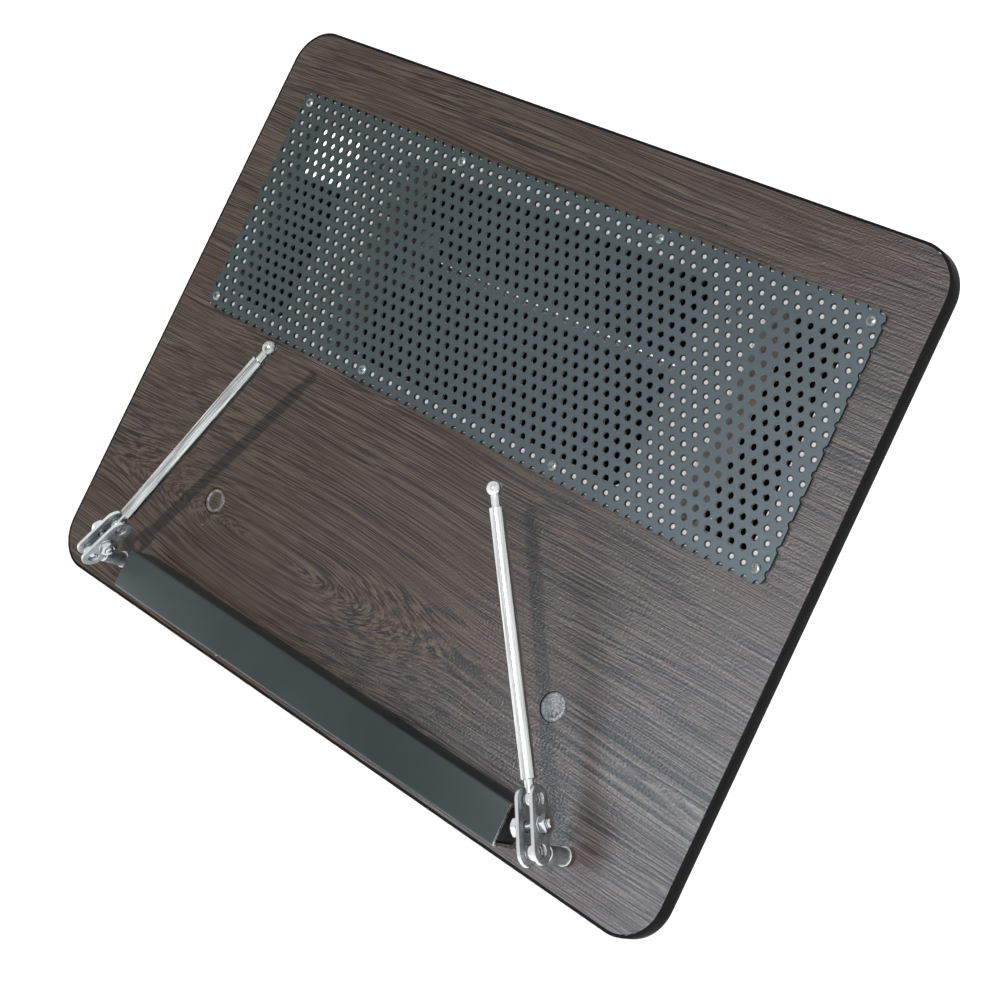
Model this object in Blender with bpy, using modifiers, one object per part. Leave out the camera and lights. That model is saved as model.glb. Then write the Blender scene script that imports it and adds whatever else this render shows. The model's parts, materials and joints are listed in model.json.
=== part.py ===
"""Book stand: a laminated board that leans back on a hinged wire prop, with a perforated steel
sheet over three windows, a square-tube book ledge and two jointed arms that hold the pages.

Metres, +Z up. The reader sits on the -Y side. The origin lies on the table, in the middle of the
whole stand's width and depth.
"""

import math

import bmesh
import bpy
from mathutils import Matrix, Vector

# The board and how it stands
BOARD_WIDTH = 0.388
BOARD_HEIGHT = 0.2876
BOARD_THICKNESS = 0.007
CORNER_RADIUS = 0.019
BAND_THICKNESS = 0.001
LEAN = math.radians(50)
BOARD_CLEARANCE = 0.004
MIDDLE_BEHIND_EDGE = 0.10554

# The gap kept between pieces that touch, and the play of a hole round a screw
GAP = 0.0003
PLAY = 0.0003

# The perforated sheet and the windows behind it
SHEET_SIDE_MARGIN = 0.020
SHEET_TOP_MARGIN = 0.0309
SHEET_HEIGHT = 0.115
SHEET_THICKNESS = 0.0012
SHEET_CORNER = 0.004
HOLE_PITCH = 0.006
HOLE_RADIUS = 0.0019
HOLE_STEP = 3
HOLE_STAGGER_SHARE = 0.25
HOLE_SCREW_CLEARANCE = 0.0065
WINDOW_LAND = 0.012
WINDOW_CORNER = 0.004
WINDOW_LAND_LOW = 0.0095
RIB_WIDTH = 0.028

# The crown of a round screw head, as shares of its radius and of its height
CROWN_SHARES = ((0.6, 0.92), (0.92, 0.55))

# The sheet's button screws
SHEET_SCREW_INSET = 0.0055
SHEET_SCREW_INNER_SHARE = 0.346
BUTTON_RADIUS = 0.0024
BUTTON_HEIGHT = 0.001
SHEET_SCREW_RADIUS = 0.0014
SHEET_SCREW_DEPTH = 0.0055

# The ledge: a rectangular tube with a plug in each end
LEDGE_POST_CLEARANCE = 0.020
LEDGE_LEFTWARD = 0.003
LEDGE_DEPTH = 0.0181
LEDGE_HEIGHT = 0.016
LEDGE_WALL = 0.0015
LEDGE_FROM_EDGE = 0.0069
LEDGE_EDGE_RADIUS = 0.0012
PLUG_LENGTH = 0.009
PLUG_RECESS = 0.0006
LEDGE_SCREW_SPAN_SHARE = 0.3
LEDGE_SCREW_RADIUS = 0.002
LEDGE_SCREW_HEAD_RADIUS = 0.0036
LEDGE_SCREW_HEAD_HEIGHT = 0.0022
LEDGE_SCREW_REACH = 0.0035

# The battens on the back, their screws and the caps over the lower ones
BATTEN_PLACE_SHARE = 0.5592783505
BATTEN_WIDTH = 0.027
BATTEN_DEPTH = 0.016
BATTEN_TOP_MARGIN = 0.0256
FOOT_CUT_REACH = 0.05
CAP_RADIUS = 0.006
CAP_THICKNESS = 0.0018
CAP_HEIGHT = 0.062
CAP_OUTWARD = 0.002
UPPER_SCREW_HEIGHT = 0.2345
BATTEN_SCREW_RADIUS = 0.002
BATTEN_SCREW_HEAD_RADIUS = 0.0039
BATTEN_SCREW_HEAD_HEIGHT = 0.0024
BATTEN_SCREW_BITE = 0.011

# The rubber pads that the battens stand on
PAD_THICKNESS = 0.003
PAD_WIDTH = 0.023
PAD_DEPTH = 0.0175
PAD_CORNER = 0.002

# The page arms
POST_SIDE_MARGIN = 0.0475
POST_FROM_EDGE = 0.0158
BALL_HEIGHT = 0.023
BALL_RADIUS = 0.0034
NECK_RADIUS = 0.002
SHOULDER_REACH = 0.0077
POST_RADIUS = 0.0033
FLANGE_RADIUS = 0.0039
FLANGE_HEIGHT = 0.003
STUD_RADIUS = 0.002
POST_NUT_WIDTH = 0.007
POST_NUT_HEIGHT = 0.0032
STUD_END = 0.001
CLAMP_SPACING = 0.0192
PLATE_WIDTH = 0.0108
PLATE_THICKNESS = 0.0015
PLATE_OFFSET = 0.0026
PLATE_HOLE_RADIUS = 0.0026
BOLT_RADIUS = 0.002
BOLT_HEAD_WIDTH = 0.007
BOLT_HEAD_HEIGHT = 0.0026
WASHER_RADIUS = 0.0041
WASHER_THICKNESS = 0.0006
NUT_HEIGHT = 0.0025
BOLT_END = 0.001
ROD_LENGTH = 0.121
ROD_RADIUS = 0.0032
ROD_RISE = math.radians(7.5)
LEFT_ARM_TURN = math.radians(28)
RIGHT_ARM_TURN = math.radians(-34.7)

# The wire prop, its brackets and its rubber sleeves
PIVOT_HEIGHT = 0.205
PIVOT_BEHIND_BATTEN = 0.0107
PROP_LENGTH = 0.150
PROP_RADIUS = 0.0035
PROP_BEND = 0.012
PIN_BEND = 0.0042
SLEEVE_RADIUS = 0.0065
SLEEVE_LENGTH = 0.032
SLEEVE_INSET = 0.022
RING_CHAMFER = 0.0005
BRACKET_THICKNESS = 0.002
BRACKET_LENGTH = 0.046
BRACKET_WIDTH = 0.024
EAR_LENGTH = 0.028
EAR_BEHIND_PIVOT = 0.0155
EAR_CORNER = 0.005
EAR_INSET = 0.0022
LEG_CLEARANCE = 0.0012
STOP_LENGTH = 0.008
STOP_THICKNESS = 0.0025
STOP_FROM_PIVOT = 0.009
PIN_CAP_RADIUS = 0.006
PIN_CAP_THICKNESS = 0.003
PIN_END = 0.0045
BRACKET_SCREW_RADIUS = 0.0017
BRACKET_SCREW_HEAD_RADIUS = 0.0034
BRACKET_SCREW_HEAD_HEIGHT = 0.002
BRACKET_SCREW_BITE = 0.010
BRACKET_SCREW_INSET = 0.006

# How finely rounds are divided, and how far a cutter stands out of what it cuts
CORNER_STEPS = 8
ROUND_SIDES = 16
SMALL_SIDES = 12
HOLE_SIDES = 6
BEND_STEPS = 5
SMOOTH_ANGLE = math.radians(35)
REACH = 0.002

# Lines and planes that follow from the sizes above, in the board's own axes:
# X to the right, Y up the slope, Z out of the front face
BACK = -BOARD_THICKNESS
BATTEN_FRONT = BACK - GAP
BATTEN_BACK = BATTEN_FRONT - BATTEN_DEPTH
SHEET_FRONT = GAP + SHEET_THICKNESS
SHEET_TOP = BOARD_HEIGHT - SHEET_TOP_MARGIN
SHEET_BOTTOM = SHEET_TOP - SHEET_HEIGHT
SHEET_WIDTH = BOARD_WIDTH - 2 * SHEET_SIDE_MARGIN
SHEET_MIDDLE = (SHEET_TOP + SHEET_BOTTOM) / 2
WINDOW_TOP = SHEET_TOP - WINDOW_LAND
WINDOW_BOTTOM = SHEET_BOTTOM + WINDOW_LAND_LOW
WINDOW_SIDE = SHEET_WIDTH / 2 - WINDOW_LAND
BATTEN_X = BOARD_WIDTH / 2 * BATTEN_PLACE_SHARE
BATTEN_TOP = BOARD_HEIGHT - BATTEN_TOP_MARGIN
EDGE_RISE = BOARD_CLEARANCE + BOARD_THICKNESS * math.cos(LEAN)
LEDGE_MIDDLE = LEDGE_FROM_EDGE + LEDGE_DEPTH / 2
POST_X = BOARD_WIDTH / 2 - POST_SIDE_MARGIN
LEDGE_LENGTH = 2 * (POST_X - LEDGE_POST_CLEARANCE)
PLATE_OUTSIDE = PLATE_OFFSET + PLATE_THICKNESS
WASHER_OUTSIDE = PLATE_OUTSIDE + GAP + WASHER_THICKNESS
NUT_INSIDE = WASHER_OUTSIDE + GAP
PIVOT_DEPTH = BATTEN_BACK - PIVOT_BEHIND_BATTEN
BRACKET_FRONT = BATTEN_BACK - GAP
BRACKET_BACK = BRACKET_FRONT - BRACKET_THICKNESS
EAR_OUTER = BATTEN_X - BATTEN_WIDTH / 2 - EAR_INSET
EAR_INNER = EAR_OUTER - BRACKET_THICKNESS
LEG_X = EAR_INNER - LEG_CLEARANCE - PROP_RADIUS
PIN_CAP_X = EAR_OUTER + GAP


def board_to_table(x, up, out):
    """Gives the table point of a point in the board's axes."""
    y = up * math.cos(LEAN) - out * math.sin(LEAN) - MIDDLE_BEHIND_EDGE
    z = EDGE_RISE + up * math.sin(LEAN) + out * math.cos(LEAN)
    return Vector((x, y, z))


def open_angle():
    """Gives how far the prop stands from the board when its foot is on the table."""
    pivot = board_to_table(0, PIVOT_HEIGHT, PIVOT_DEPTH)
    drop = pivot.z - SLEEVE_RADIUS
    from_vertical = math.acos(drop / PROP_LENGTH)
    return math.pi / 2 - LEAN + from_vertical


def clear_scene():
    """Removes what the file holds, so that a second run starts clean."""
    for item in list(bpy.data.objects):
        bpy.data.objects.remove(item, do_unlink=True)
    for group in list(bpy.data.collections):
        bpy.data.collections.remove(group)


def make_collection(name):
    """Makes a collection under the scene's own."""
    group = bpy.data.collections.new(name)
    bpy.context.scene.collection.children.link(group)
    return group


def make_material(name, colour, roughness, metallic):
    """Makes a plain Principled material."""
    material = bpy.data.materials.new(name)
    material.use_nodes = True
    shader = material.node_tree.nodes["Principled BSDF"]
    shader.inputs["Base Color"].default_value = (*colour, 1)
    shader.inputs["Roughness"].default_value = roughness
    shader.inputs["Metallic"].default_value = metallic
    material.diffuse_color = (*colour, 1)
    return material


LOOKS = {
    "laminate": ((0.095, 0.075, 0.065), 0.5, 0.0),
    "band": ((0.012, 0.012, 0.012), 0.45, 0.0),
    "sheet_paint": ((0.055, 0.068, 0.072), 0.4, 0.6),
    "ledge_paint": ((0.045, 0.055, 0.056), 0.38, 0.5),
    "plug_plastic": ((0.015, 0.015, 0.016), 0.5, 0.0),
    "chrome": ((0.75, 0.77, 0.78), 0.12, 1.0),
    "zinc": ((0.55, 0.56, 0.57), 0.3, 1.0),
    "batten_wood": ((0.07, 0.05, 0.042), 0.55, 0.0),
    "rubber": ((0.02, 0.02, 0.02), 0.8, 0.0),
    "black_steel": ((0.03, 0.03, 0.032), 0.4, 0.7),
}


def add_object(name, mesh, group, look=None, parent=None, location=(0, 0, 0), rotation=(0, 0, 0)):
    """Links a mesh as an object of its own, with a material of its own."""
    item = bpy.data.objects.new(name, mesh)
    group.objects.link(item)
    item.parent = parent
    item.location = location
    item.rotation_euler = rotation
    if look:
        colour, roughness, metallic = LOOKS[look]
        mesh.materials.append(make_material(name + "_" + look, colour, roughness, metallic))
    return item


def add_empty(name, group, parent=None, location=(0, 0, 0), rotation=(0, 0, 0)):
    """Adds an axis or frame that carries other objects."""
    item = bpy.data.objects.new(name, None)
    item.empty_display_size = CORNER_RADIUS
    group.objects.link(item)
    item.parent = parent
    item.location = location
    item.rotation_euler = rotation
    return item


def cutter(name, mesh, parent=None, location=(0, 0, 0), rotation=(0, 0, 0)):
    """Adds an object that only cuts others."""
    item = add_object(name, mesh, CUTTERS, None, parent, location, rotation)
    item.hide_render = True
    item.display_type = "WIRE"
    return item


def cut(item, tool, operation="DIFFERENCE"):
    """Cuts or joins one object with another."""
    step = item.modifiers.new(tool.name, "BOOLEAN")
    step.operation = operation
    step.solver = "EXACT"
    step.object = tool


def arc(cx, cy, radius, start, end, steps):
    """Gives points along an arc, both ends included."""
    points = []
    for i in range(steps + 1):
        a = start + (end - start) * i / steps
        points.append((cx + radius * math.cos(a), cy + radius * math.sin(a)))
    return points


def rounded_rectangle(width, height, radius, steps=CORNER_STEPS, cx=0, cy=0):
    """Gives the outline of a rectangle with round corners."""
    quarter = math.pi / 2
    points = []
    for i, (sx, sy) in enumerate(((1, 1), (-1, 1), (-1, -1), (1, -1))):
        x = cx + sx * (width / 2 - radius)
        y = cy + sy * (height / 2 - radius)
        points += arc(x, y, radius, i * quarter, (i + 1) * quarter, steps)
    return points


def stadium(length_between, radius, steps=CORNER_STEPS):
    """Gives a plate outline with round ends, from the origin up the Y axis."""
    upper = arc(0, length_between, radius, 0, math.pi, steps)
    lower = arc(0, 0, radius, math.pi, 2 * math.pi, steps)
    return upper + lower


def smooth(mesh):
    """Shades the rounds of a mesh smooth and keeps its corners sharp."""
    mesh.shade_smooth()
    mesh.set_sharp_from_angle(angle=SMOOTH_ANGLE)
    return mesh


def add_points(curve, route, closed):
    """Adds one run of straight pieces to a curve."""
    spline = curve.splines.new("POLY")
    spline.points.add(len(route) - 1)
    for point, (x, y) in zip(spline.points, route):
        point.co = (x, y, 0, 1)
    spline.use_cyclic_u = closed


def curve_to_mesh(curve, lift=0):
    """Turns a curve into a closed mesh, moved up by a lift, and removes the curve."""
    carrier = bpy.data.objects.new(curve.name, curve)
    bpy.context.scene.collection.objects.link(carrier)
    bpy.context.view_layer.update()
    mesh = bpy.data.meshes.new_from_object(carrier.evaluated_get(bpy.context.evaluated_depsgraph_get()))
    bpy.data.objects.remove(carrier)
    bpy.data.curves.remove(curve)
    shape = bmesh.new()
    shape.from_mesh(mesh)
    bmesh.ops.remove_doubles(shape, verts=shape.verts, dist=GAP / 100)
    bmesh.ops.translate(shape, verts=shape.verts, vec=(0, 0, lift))
    bmesh.ops.recalc_face_normals(shape, faces=shape.faces)
    shape.to_mesh(mesh)
    shape.free()
    return smooth(mesh)


def plate(outline, low, high):
    """Makes a flat plate from its outline, between two levels of Z, with a 2D curve."""
    curve = bpy.data.curves.new("outline", "CURVE")
    curve.dimensions = "2D"
    curve.fill_mode = "BOTH"
    curve.extrude = (high - low) / 2
    add_points(curve, outline, True)
    return curve_to_mesh(curve, (low + high) / 2)


def box(low, high):
    """Makes a box between two corners."""
    mesh = bpy.data.meshes.new("box")
    shape = bmesh.new()
    bmesh.ops.create_cube(shape, size=1)
    size = [b - a for a, b in zip(low, high)]
    middle = [(a + b) / 2 for a, b in zip(low, high)]
    bmesh.ops.scale(shape, verts=shape.verts, vec=size)
    bmesh.ops.translate(shape, verts=shape.verts, vec=middle)
    shape.to_mesh(mesh)
    shape.free()
    return mesh


def add_rod(shape, start, end, radius, sides):
    """Adds a closed cylinder between two points to a bmesh."""
    start, end = Vector(start), Vector(end)
    along = end - start
    turn = along.to_track_quat("Z", "Y").to_matrix().to_4x4()
    place = Matrix.Translation((start + end) / 2) @ turn
    bmesh.ops.create_cone(
        shape, cap_ends=True, segments=sides, radius1=radius, radius2=radius, depth=along.length, matrix=place
    )


def rods(pieces, sides=ROUND_SIDES):
    """Makes a mesh of separate cylinders, each from a start, an end and a radius."""
    mesh = bpy.data.meshes.new("rods")
    shape = bmesh.new()
    for start, end, radius in pieces:
        add_rod(shape, start, end, radius, sides)
    shape.to_mesh(mesh)
    shape.free()
    return smooth(mesh)


def turned(name, profile, look, parent=None, location=(0, 0, 0), rotation=(0, 0, 0), sides=ROUND_SIDES):
    """Makes a turned piece round Z from a profile of radius and height, top to bottom."""
    mesh = bpy.data.meshes.new(name)
    shape = bmesh.new()
    points = [shape.verts.new((radius, 0, height)) for radius, height in profile]
    for a, b in zip(points, points[1:]):
        shape.edges.new((a, b))
    shape.to_mesh(mesh)
    shape.free()
    item = add_object(name, mesh, PARTS, look, parent, location, rotation)
    turn = item.modifiers.new("turn", "SCREW")
    turn.axis = "Z"
    turn.angle = 2 * math.pi
    turn.steps = sides
    turn.render_steps = sides
    turn.use_merge_vertices = True
    turn.merge_threshold = GAP / 100
    turn.use_smooth_shade = True
    return item


def ball_profile(centre, radius, neck, upper_pole, steps=5):
    """Gives the part of a ball's profile between its pole and its neck, top to bottom."""
    meet = math.acos(math.sqrt(radius * radius - neck * neck) / radius)
    points = []
    for i in range(steps + 1):
        share = i / steps
        angle = share * (math.pi - meet) if upper_pole else meet + share * (math.pi - meet)
        points.append((radius * math.sin(angle), centre + radius * math.cos(angle)))
    pole = 0 if upper_pole else -1
    points[pole] = (0, points[pole][1])
    return points


def hexagon(width):
    """Gives a hexagon outline from its width across flats."""
    corner = width / math.sqrt(3)
    return [(corner * math.cos(i * math.pi / 3), corner * math.sin(i * math.pi / 3)) for i in range(6)]


def button_screw(name, head_radius, head_height, shank_radius, shank_length, look, parent, place, turn):
    """Makes a round-headed screw whose head rises from the origin and whose shank runs down."""
    crown = [(head_radius * out, head_height * up) for out, up in CROWN_SHARES]
    profile = [(0, head_height)] + crown + [
        (head_radius, 0),
        (shank_radius, 0),
        (shank_radius, -shank_length + shank_radius),
        (0, -shank_length),
    ]
    return turned(name, profile, look, parent, place, turn, SMALL_SIDES)


def batten_screw_places(side):
    """Gives the X and the height of a batten's lower screw, under the cap, and of its upper one."""
    return ((side * (BATTEN_X + CAP_OUTWARD), CAP_HEIGHT), (side * BATTEN_X, UPPER_SCREW_HEIGHT))


def make_board(frame):
    """The laminated board with its three windows, its screw and stud holes and its edge band."""
    inner_w = BOARD_WIDTH - 2 * (BAND_THICKNESS + GAP)
    inner_h = BOARD_HEIGHT - 2 * (BAND_THICKNESS + GAP)
    inner_r = CORNER_RADIUS - BAND_THICKNESS - GAP
    middle = BOARD_HEIGHT / 2
    outline = rounded_rectangle(inner_w, inner_h, inner_r, cy=middle)
    board = add_object("board", plate(outline, BACK, 0), PARTS, "laminate", frame)

    window_h = WINDOW_TOP - WINDOW_BOTTOM
    window_y = (WINDOW_TOP + WINDOW_BOTTOM) / 2
    inner_edge = BATTEN_X - RIB_WIDTH / 2
    outer_edge = BATTEN_X + RIB_WIDTH / 2
    spans = ((-WINDOW_SIDE, -outer_edge), (-inner_edge, inner_edge), (outer_edge, WINDOW_SIDE))
    for i, (left, right) in enumerate(spans):
        window = rounded_rectangle(right - left, window_h, WINDOW_CORNER, 3, (left + right) / 2, window_y)
        cut(board, cutter(f"window_cut_{i + 1}", plate(window, BACK - REACH, REACH), frame))

    holes = []
    through = ((0, 0, BACK - REACH), (0, 0, REACH))
    for side in (-1, 1):
        holes.append((through, (side * POST_X, POST_FROM_EDGE), STUD_RADIUS + PLAY))
        for place in batten_screw_places(side):
            holes.append((through, place, BATTEN_SCREW_RADIUS + PLAY))
    for x in ledge_screw_places():
        holes.append((through, (x, LEDGE_MIDDLE), LEDGE_SCREW_RADIUS + PLAY))
    pieces = []
    for (start, end), (x, y), radius in holes:
        shift = Vector((x, y, 0))
        pieces.append((Vector(start) + shift, Vector(end) + shift, radius))
    for x, y in sheet_screw_places():
        low = -SHEET_SCREW_DEPTH + SHEET_FRONT - PLAY
        pieces.append(((x, y, low), (x, y, REACH), SHEET_SCREW_RADIUS + PLAY))
    cut(board, cutter("board_holes", rods(pieces, SMALL_SIDES), frame))

    seats = []
    head = BATTEN_SCREW_HEAD_HEIGHT + PLAY
    for side in (-1, 1):
        lower, upper = batten_screw_places(side)
        low = -CAP_THICKNESS - GAP - head
        seats.append(((*lower, low), (*lower, REACH), CAP_RADIUS + PLAY))
        seats.append(((*upper, -head), (*upper, REACH), BATTEN_SCREW_HEAD_RADIUS + PLAY))
    cut(board, cutter("screw_seats", rods(seats), frame))

    outer = rounded_rectangle(BOARD_WIDTH, BOARD_HEIGHT, CORNER_RADIUS, cy=middle)
    band = add_object("edge_band", plate(outer, BACK, 0), PARTS, "band", frame)
    hole_w, hole_h = inner_w + 2 * GAP, inner_h + 2 * GAP
    hole = rounded_rectangle(hole_w, hole_h, inner_r + GAP, cy=middle)
    cut(band, cutter("band_cut", plate(hole, BACK - REACH, REACH), frame))
    return board


def sheet_screw_places():
    """Gives where the sheet's eight screws stand."""
    outer = SHEET_WIDTH / 2 - SHEET_SCREW_INSET
    inner = SHEET_WIDTH / 2 * SHEET_SCREW_INNER_SHARE
    rows = (SHEET_TOP - SHEET_SCREW_INSET, SHEET_BOTTOM + SHEET_SCREW_INSET)
    return [(x, y) for y in rows for x in (-outer, -inner, inner, outer)]


def lattice_places():
    """Gives hole centres: every third hole of every third row of the staggered pattern."""
    row_gap = HOLE_PITCH * math.sin(math.pi / 3)
    rows = int((SHEET_HEIGHT - HOLE_PITCH) / row_gap) + 1
    columns = int((SHEET_WIDTH - HOLE_PITCH / 2) / HOLE_PITCH)
    screws = sheet_screw_places()
    places = []
    for line, row in enumerate(range(1, rows, HOLE_STEP)):
        stagger = HOLE_STAGGER_SHARE if row % 2 else -HOLE_STAGGER_SHARE
        for column in range(1 + 2 * (line % 2), columns - 1, HOLE_STEP):
            x = (column - (columns - 1) / 2 + stagger) * HOLE_PITCH
            y = SHEET_MIDDLE + (row - (rows - 1) / 2) * row_gap
            if min(math.hypot(x - sx, y - sy) for sx, sy in screws) > HOLE_SCREW_CLEARANCE:
                places.append((x, y))
    return places


def make_sheet(frame):
    """The perforated sheet and the eight screws that hold it."""
    outline = rounded_rectangle(SHEET_WIDTH, SHEET_HEIGHT, SHEET_CORNER, 4, cy=SHEET_MIDDLE)
    sheet = add_object("perforated_sheet", plate(outline, GAP, SHEET_FRONT), PARTS, "sheet_paint", frame)
    low, high = GAP - REACH, SHEET_FRONT + REACH
    holes = [((x, y, low), (x, y, high), HOLE_RADIUS) for x, y in lattice_places()]
    cut(sheet, cutter("perforation", rods(holes, HOLE_SIDES), frame))
    bores = [((x, y, low), (x, y, high), SHEET_SCREW_RADIUS + PLAY) for x, y in sheet_screw_places()]
    cut(sheet, cutter("sheet_screw_bores", rods(bores, SMALL_SIDES), frame))
    for i, (x, y) in enumerate(sheet_screw_places()):
        button_screw(
            f"sheet_screw_{i + 1}", BUTTON_RADIUS, BUTTON_HEIGHT, SHEET_SCREW_RADIUS,
            SHEET_SCREW_DEPTH, "zinc", frame, (x, y, SHEET_FRONT + GAP), (0, 0, 0),
        )


def ledge_screw_places():
    """Gives the X of the three screws under the ledge."""
    reach = LEDGE_LENGTH * LEDGE_SCREW_SPAN_SHARE
    return (-LEDGE_LEFTWARD - reach, -LEDGE_LEFTWARD, -LEDGE_LEFTWARD + reach)


def make_ledge(frame):
    """The ledge tube, its two end plugs and the three screws that hold it from behind."""
    turn = (math.pi / 2, 0, math.pi / 2)
    place = (-LEDGE_LEFTWARD, LEDGE_MIDDLE, GAP + LEDGE_HEIGHT / 2)
    outer = rounded_rectangle(LEDGE_DEPTH, LEDGE_HEIGHT, LEDGE_EDGE_RADIUS, 2)
    half = LEDGE_LENGTH / 2
    tube = add_object("ledge_tube", plate(outer, -half, half), PARTS, "ledge_paint", frame, place, turn)
    bore_w, bore_h = LEDGE_DEPTH - 2 * LEDGE_WALL, LEDGE_HEIGHT - 2 * LEDGE_WALL
    bore = rounded_rectangle(bore_w, bore_h, LEDGE_EDGE_RADIUS / 2, 2)
    cut(tube, cutter("ledge_bore", plate(bore, -half - REACH, half + REACH), frame, place, turn))
    level = GAP + LEDGE_WALL
    holes = []
    for x in ledge_screw_places():
        holes.append(((x, LEDGE_MIDDLE, -REACH), (x, LEDGE_MIDDLE, level + REACH), LEDGE_SCREW_RADIUS + PLAY))
    cut(tube, cutter("ledge_screw_holes", rods(holes, SMALL_SIDES), frame))

    plug = rounded_rectangle(bore_w - 2 * GAP, bore_h - 2 * GAP, LEDGE_EDGE_RADIUS / 2, 2)
    for side, word in ((-1, "left"), (1, "right")):
        outer_end = side * (half - PLUG_RECESS)
        inner_end = outer_end - side * PLUG_LENGTH
        mesh = plate(plug, min(outer_end, inner_end), max(outer_end, inner_end))
        add_object("ledge_plug_" + word, mesh, PARTS, "plug_plastic", frame, place, turn)
    length = BOARD_THICKNESS + GAP + level + LEDGE_SCREW_REACH
    for i, x in enumerate(ledge_screw_places()):
        button_screw(
            f"ledge_screw_{i + 1}", LEDGE_SCREW_HEAD_RADIUS, LEDGE_SCREW_HEAD_HEIGHT, LEDGE_SCREW_RADIUS,
            length, "zinc", frame, (x, LEDGE_MIDDLE, BACK - GAP), (math.pi, 0, 0),
        )


def make_batten(frame, side, word):
    """One batten, cut level at its foot, with its screws, the cap over the lower one and its pad."""
    x = side * BATTEN_X
    left, right = x - BATTEN_WIDTH / 2, x + BATTEN_WIDTH / 2
    mesh = box((left, -BATTEN_DEPTH, BATTEN_BACK), (right, BATTEN_TOP, BATTEN_FRONT))
    batten = add_object("batten_" + word, mesh, PARTS, "batten_wood", frame)
    floor = PAD_THICKNESS + GAP
    reach = FOOT_CUT_REACH
    front_y, back_y = foot_line(BATTEN_FRONT), foot_line(BATTEN_BACK)
    below = box((left - REACH, front_y - reach, -reach), (right + REACH, back_y + reach, floor))
    cut(batten, cutter("batten_foot_cut_" + word, below))
    bite = BATTEN_FRONT - BATTEN_SCREW_BITE - PLAY
    holes = []
    places = batten_screw_places(side)
    for px, py in places:
        holes.append(((px, py, bite), (px, py, BATTEN_FRONT + REACH), BATTEN_SCREW_RADIUS + PLAY))
    for height in bracket_screw_places():
        deep = BRACKET_BACK + BRACKET_SCREW_BITE + PLAY
        holes.append(((x, height, BATTEN_BACK - REACH), (x, height, deep), BRACKET_SCREW_RADIUS + PLAY))
    cut(batten, cutter("batten_pilots_" + word, rods(holes, SMALL_SIDES), frame))

    seats = (-CAP_THICKNESS - GAP - BATTEN_SCREW_HEAD_HEIGHT, -BATTEN_SCREW_HEAD_HEIGHT)
    for (px, py), name, seat in zip(places, ("lower", "upper"), seats):
        length = seat - BATTEN_FRONT + BATTEN_SCREW_BITE
        profile = [
            (0, BATTEN_SCREW_HEAD_HEIGHT),
            (BATTEN_SCREW_HEAD_RADIUS, BATTEN_SCREW_HEAD_HEIGHT),
            (BATTEN_SCREW_HEAD_RADIUS, 0),
            (BATTEN_SCREW_RADIUS, 0),
            (BATTEN_SCREW_RADIUS, -length + BATTEN_SCREW_RADIUS),
            (0, -length),
        ]
        turned(f"{name}_screw_{word}", profile, "zinc", frame, (px, py, seat), (0, 0, 0), SMALL_SIDES)
    cap = rods([((0, 0, -CAP_THICKNESS), (0, 0, 0), CAP_RADIUS)], ROUND_SIDES * 2)
    add_object("screw_cap_" + word, cap, PARTS, "laminate", frame, (*places[0], 0))

    outline = rounded_rectangle(PAD_WIDTH, PAD_DEPTH, PAD_CORNER, 3, x, (front_y + back_y) / 2)
    add_object("foot_pad_" + word, plate(outline, 0, PAD_THICKNESS), PARTS, "rubber")


def foot_line(out):
    """Gives the table's Y where a plane of the batten meets the level foot cut."""
    up = (PAD_THICKNESS + GAP - EDGE_RISE - out * math.cos(LEAN)) / math.sin(LEAN)
    return board_to_table(0, up, out).y


def bracket_screw_places():
    """Gives how far up the board the two screws of a prop bracket stand."""
    reach = BRACKET_LENGTH / 2 - BRACKET_SCREW_INSET
    return (PIVOT_HEIGHT - reach, PIVOT_HEIGHT + reach)


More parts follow.
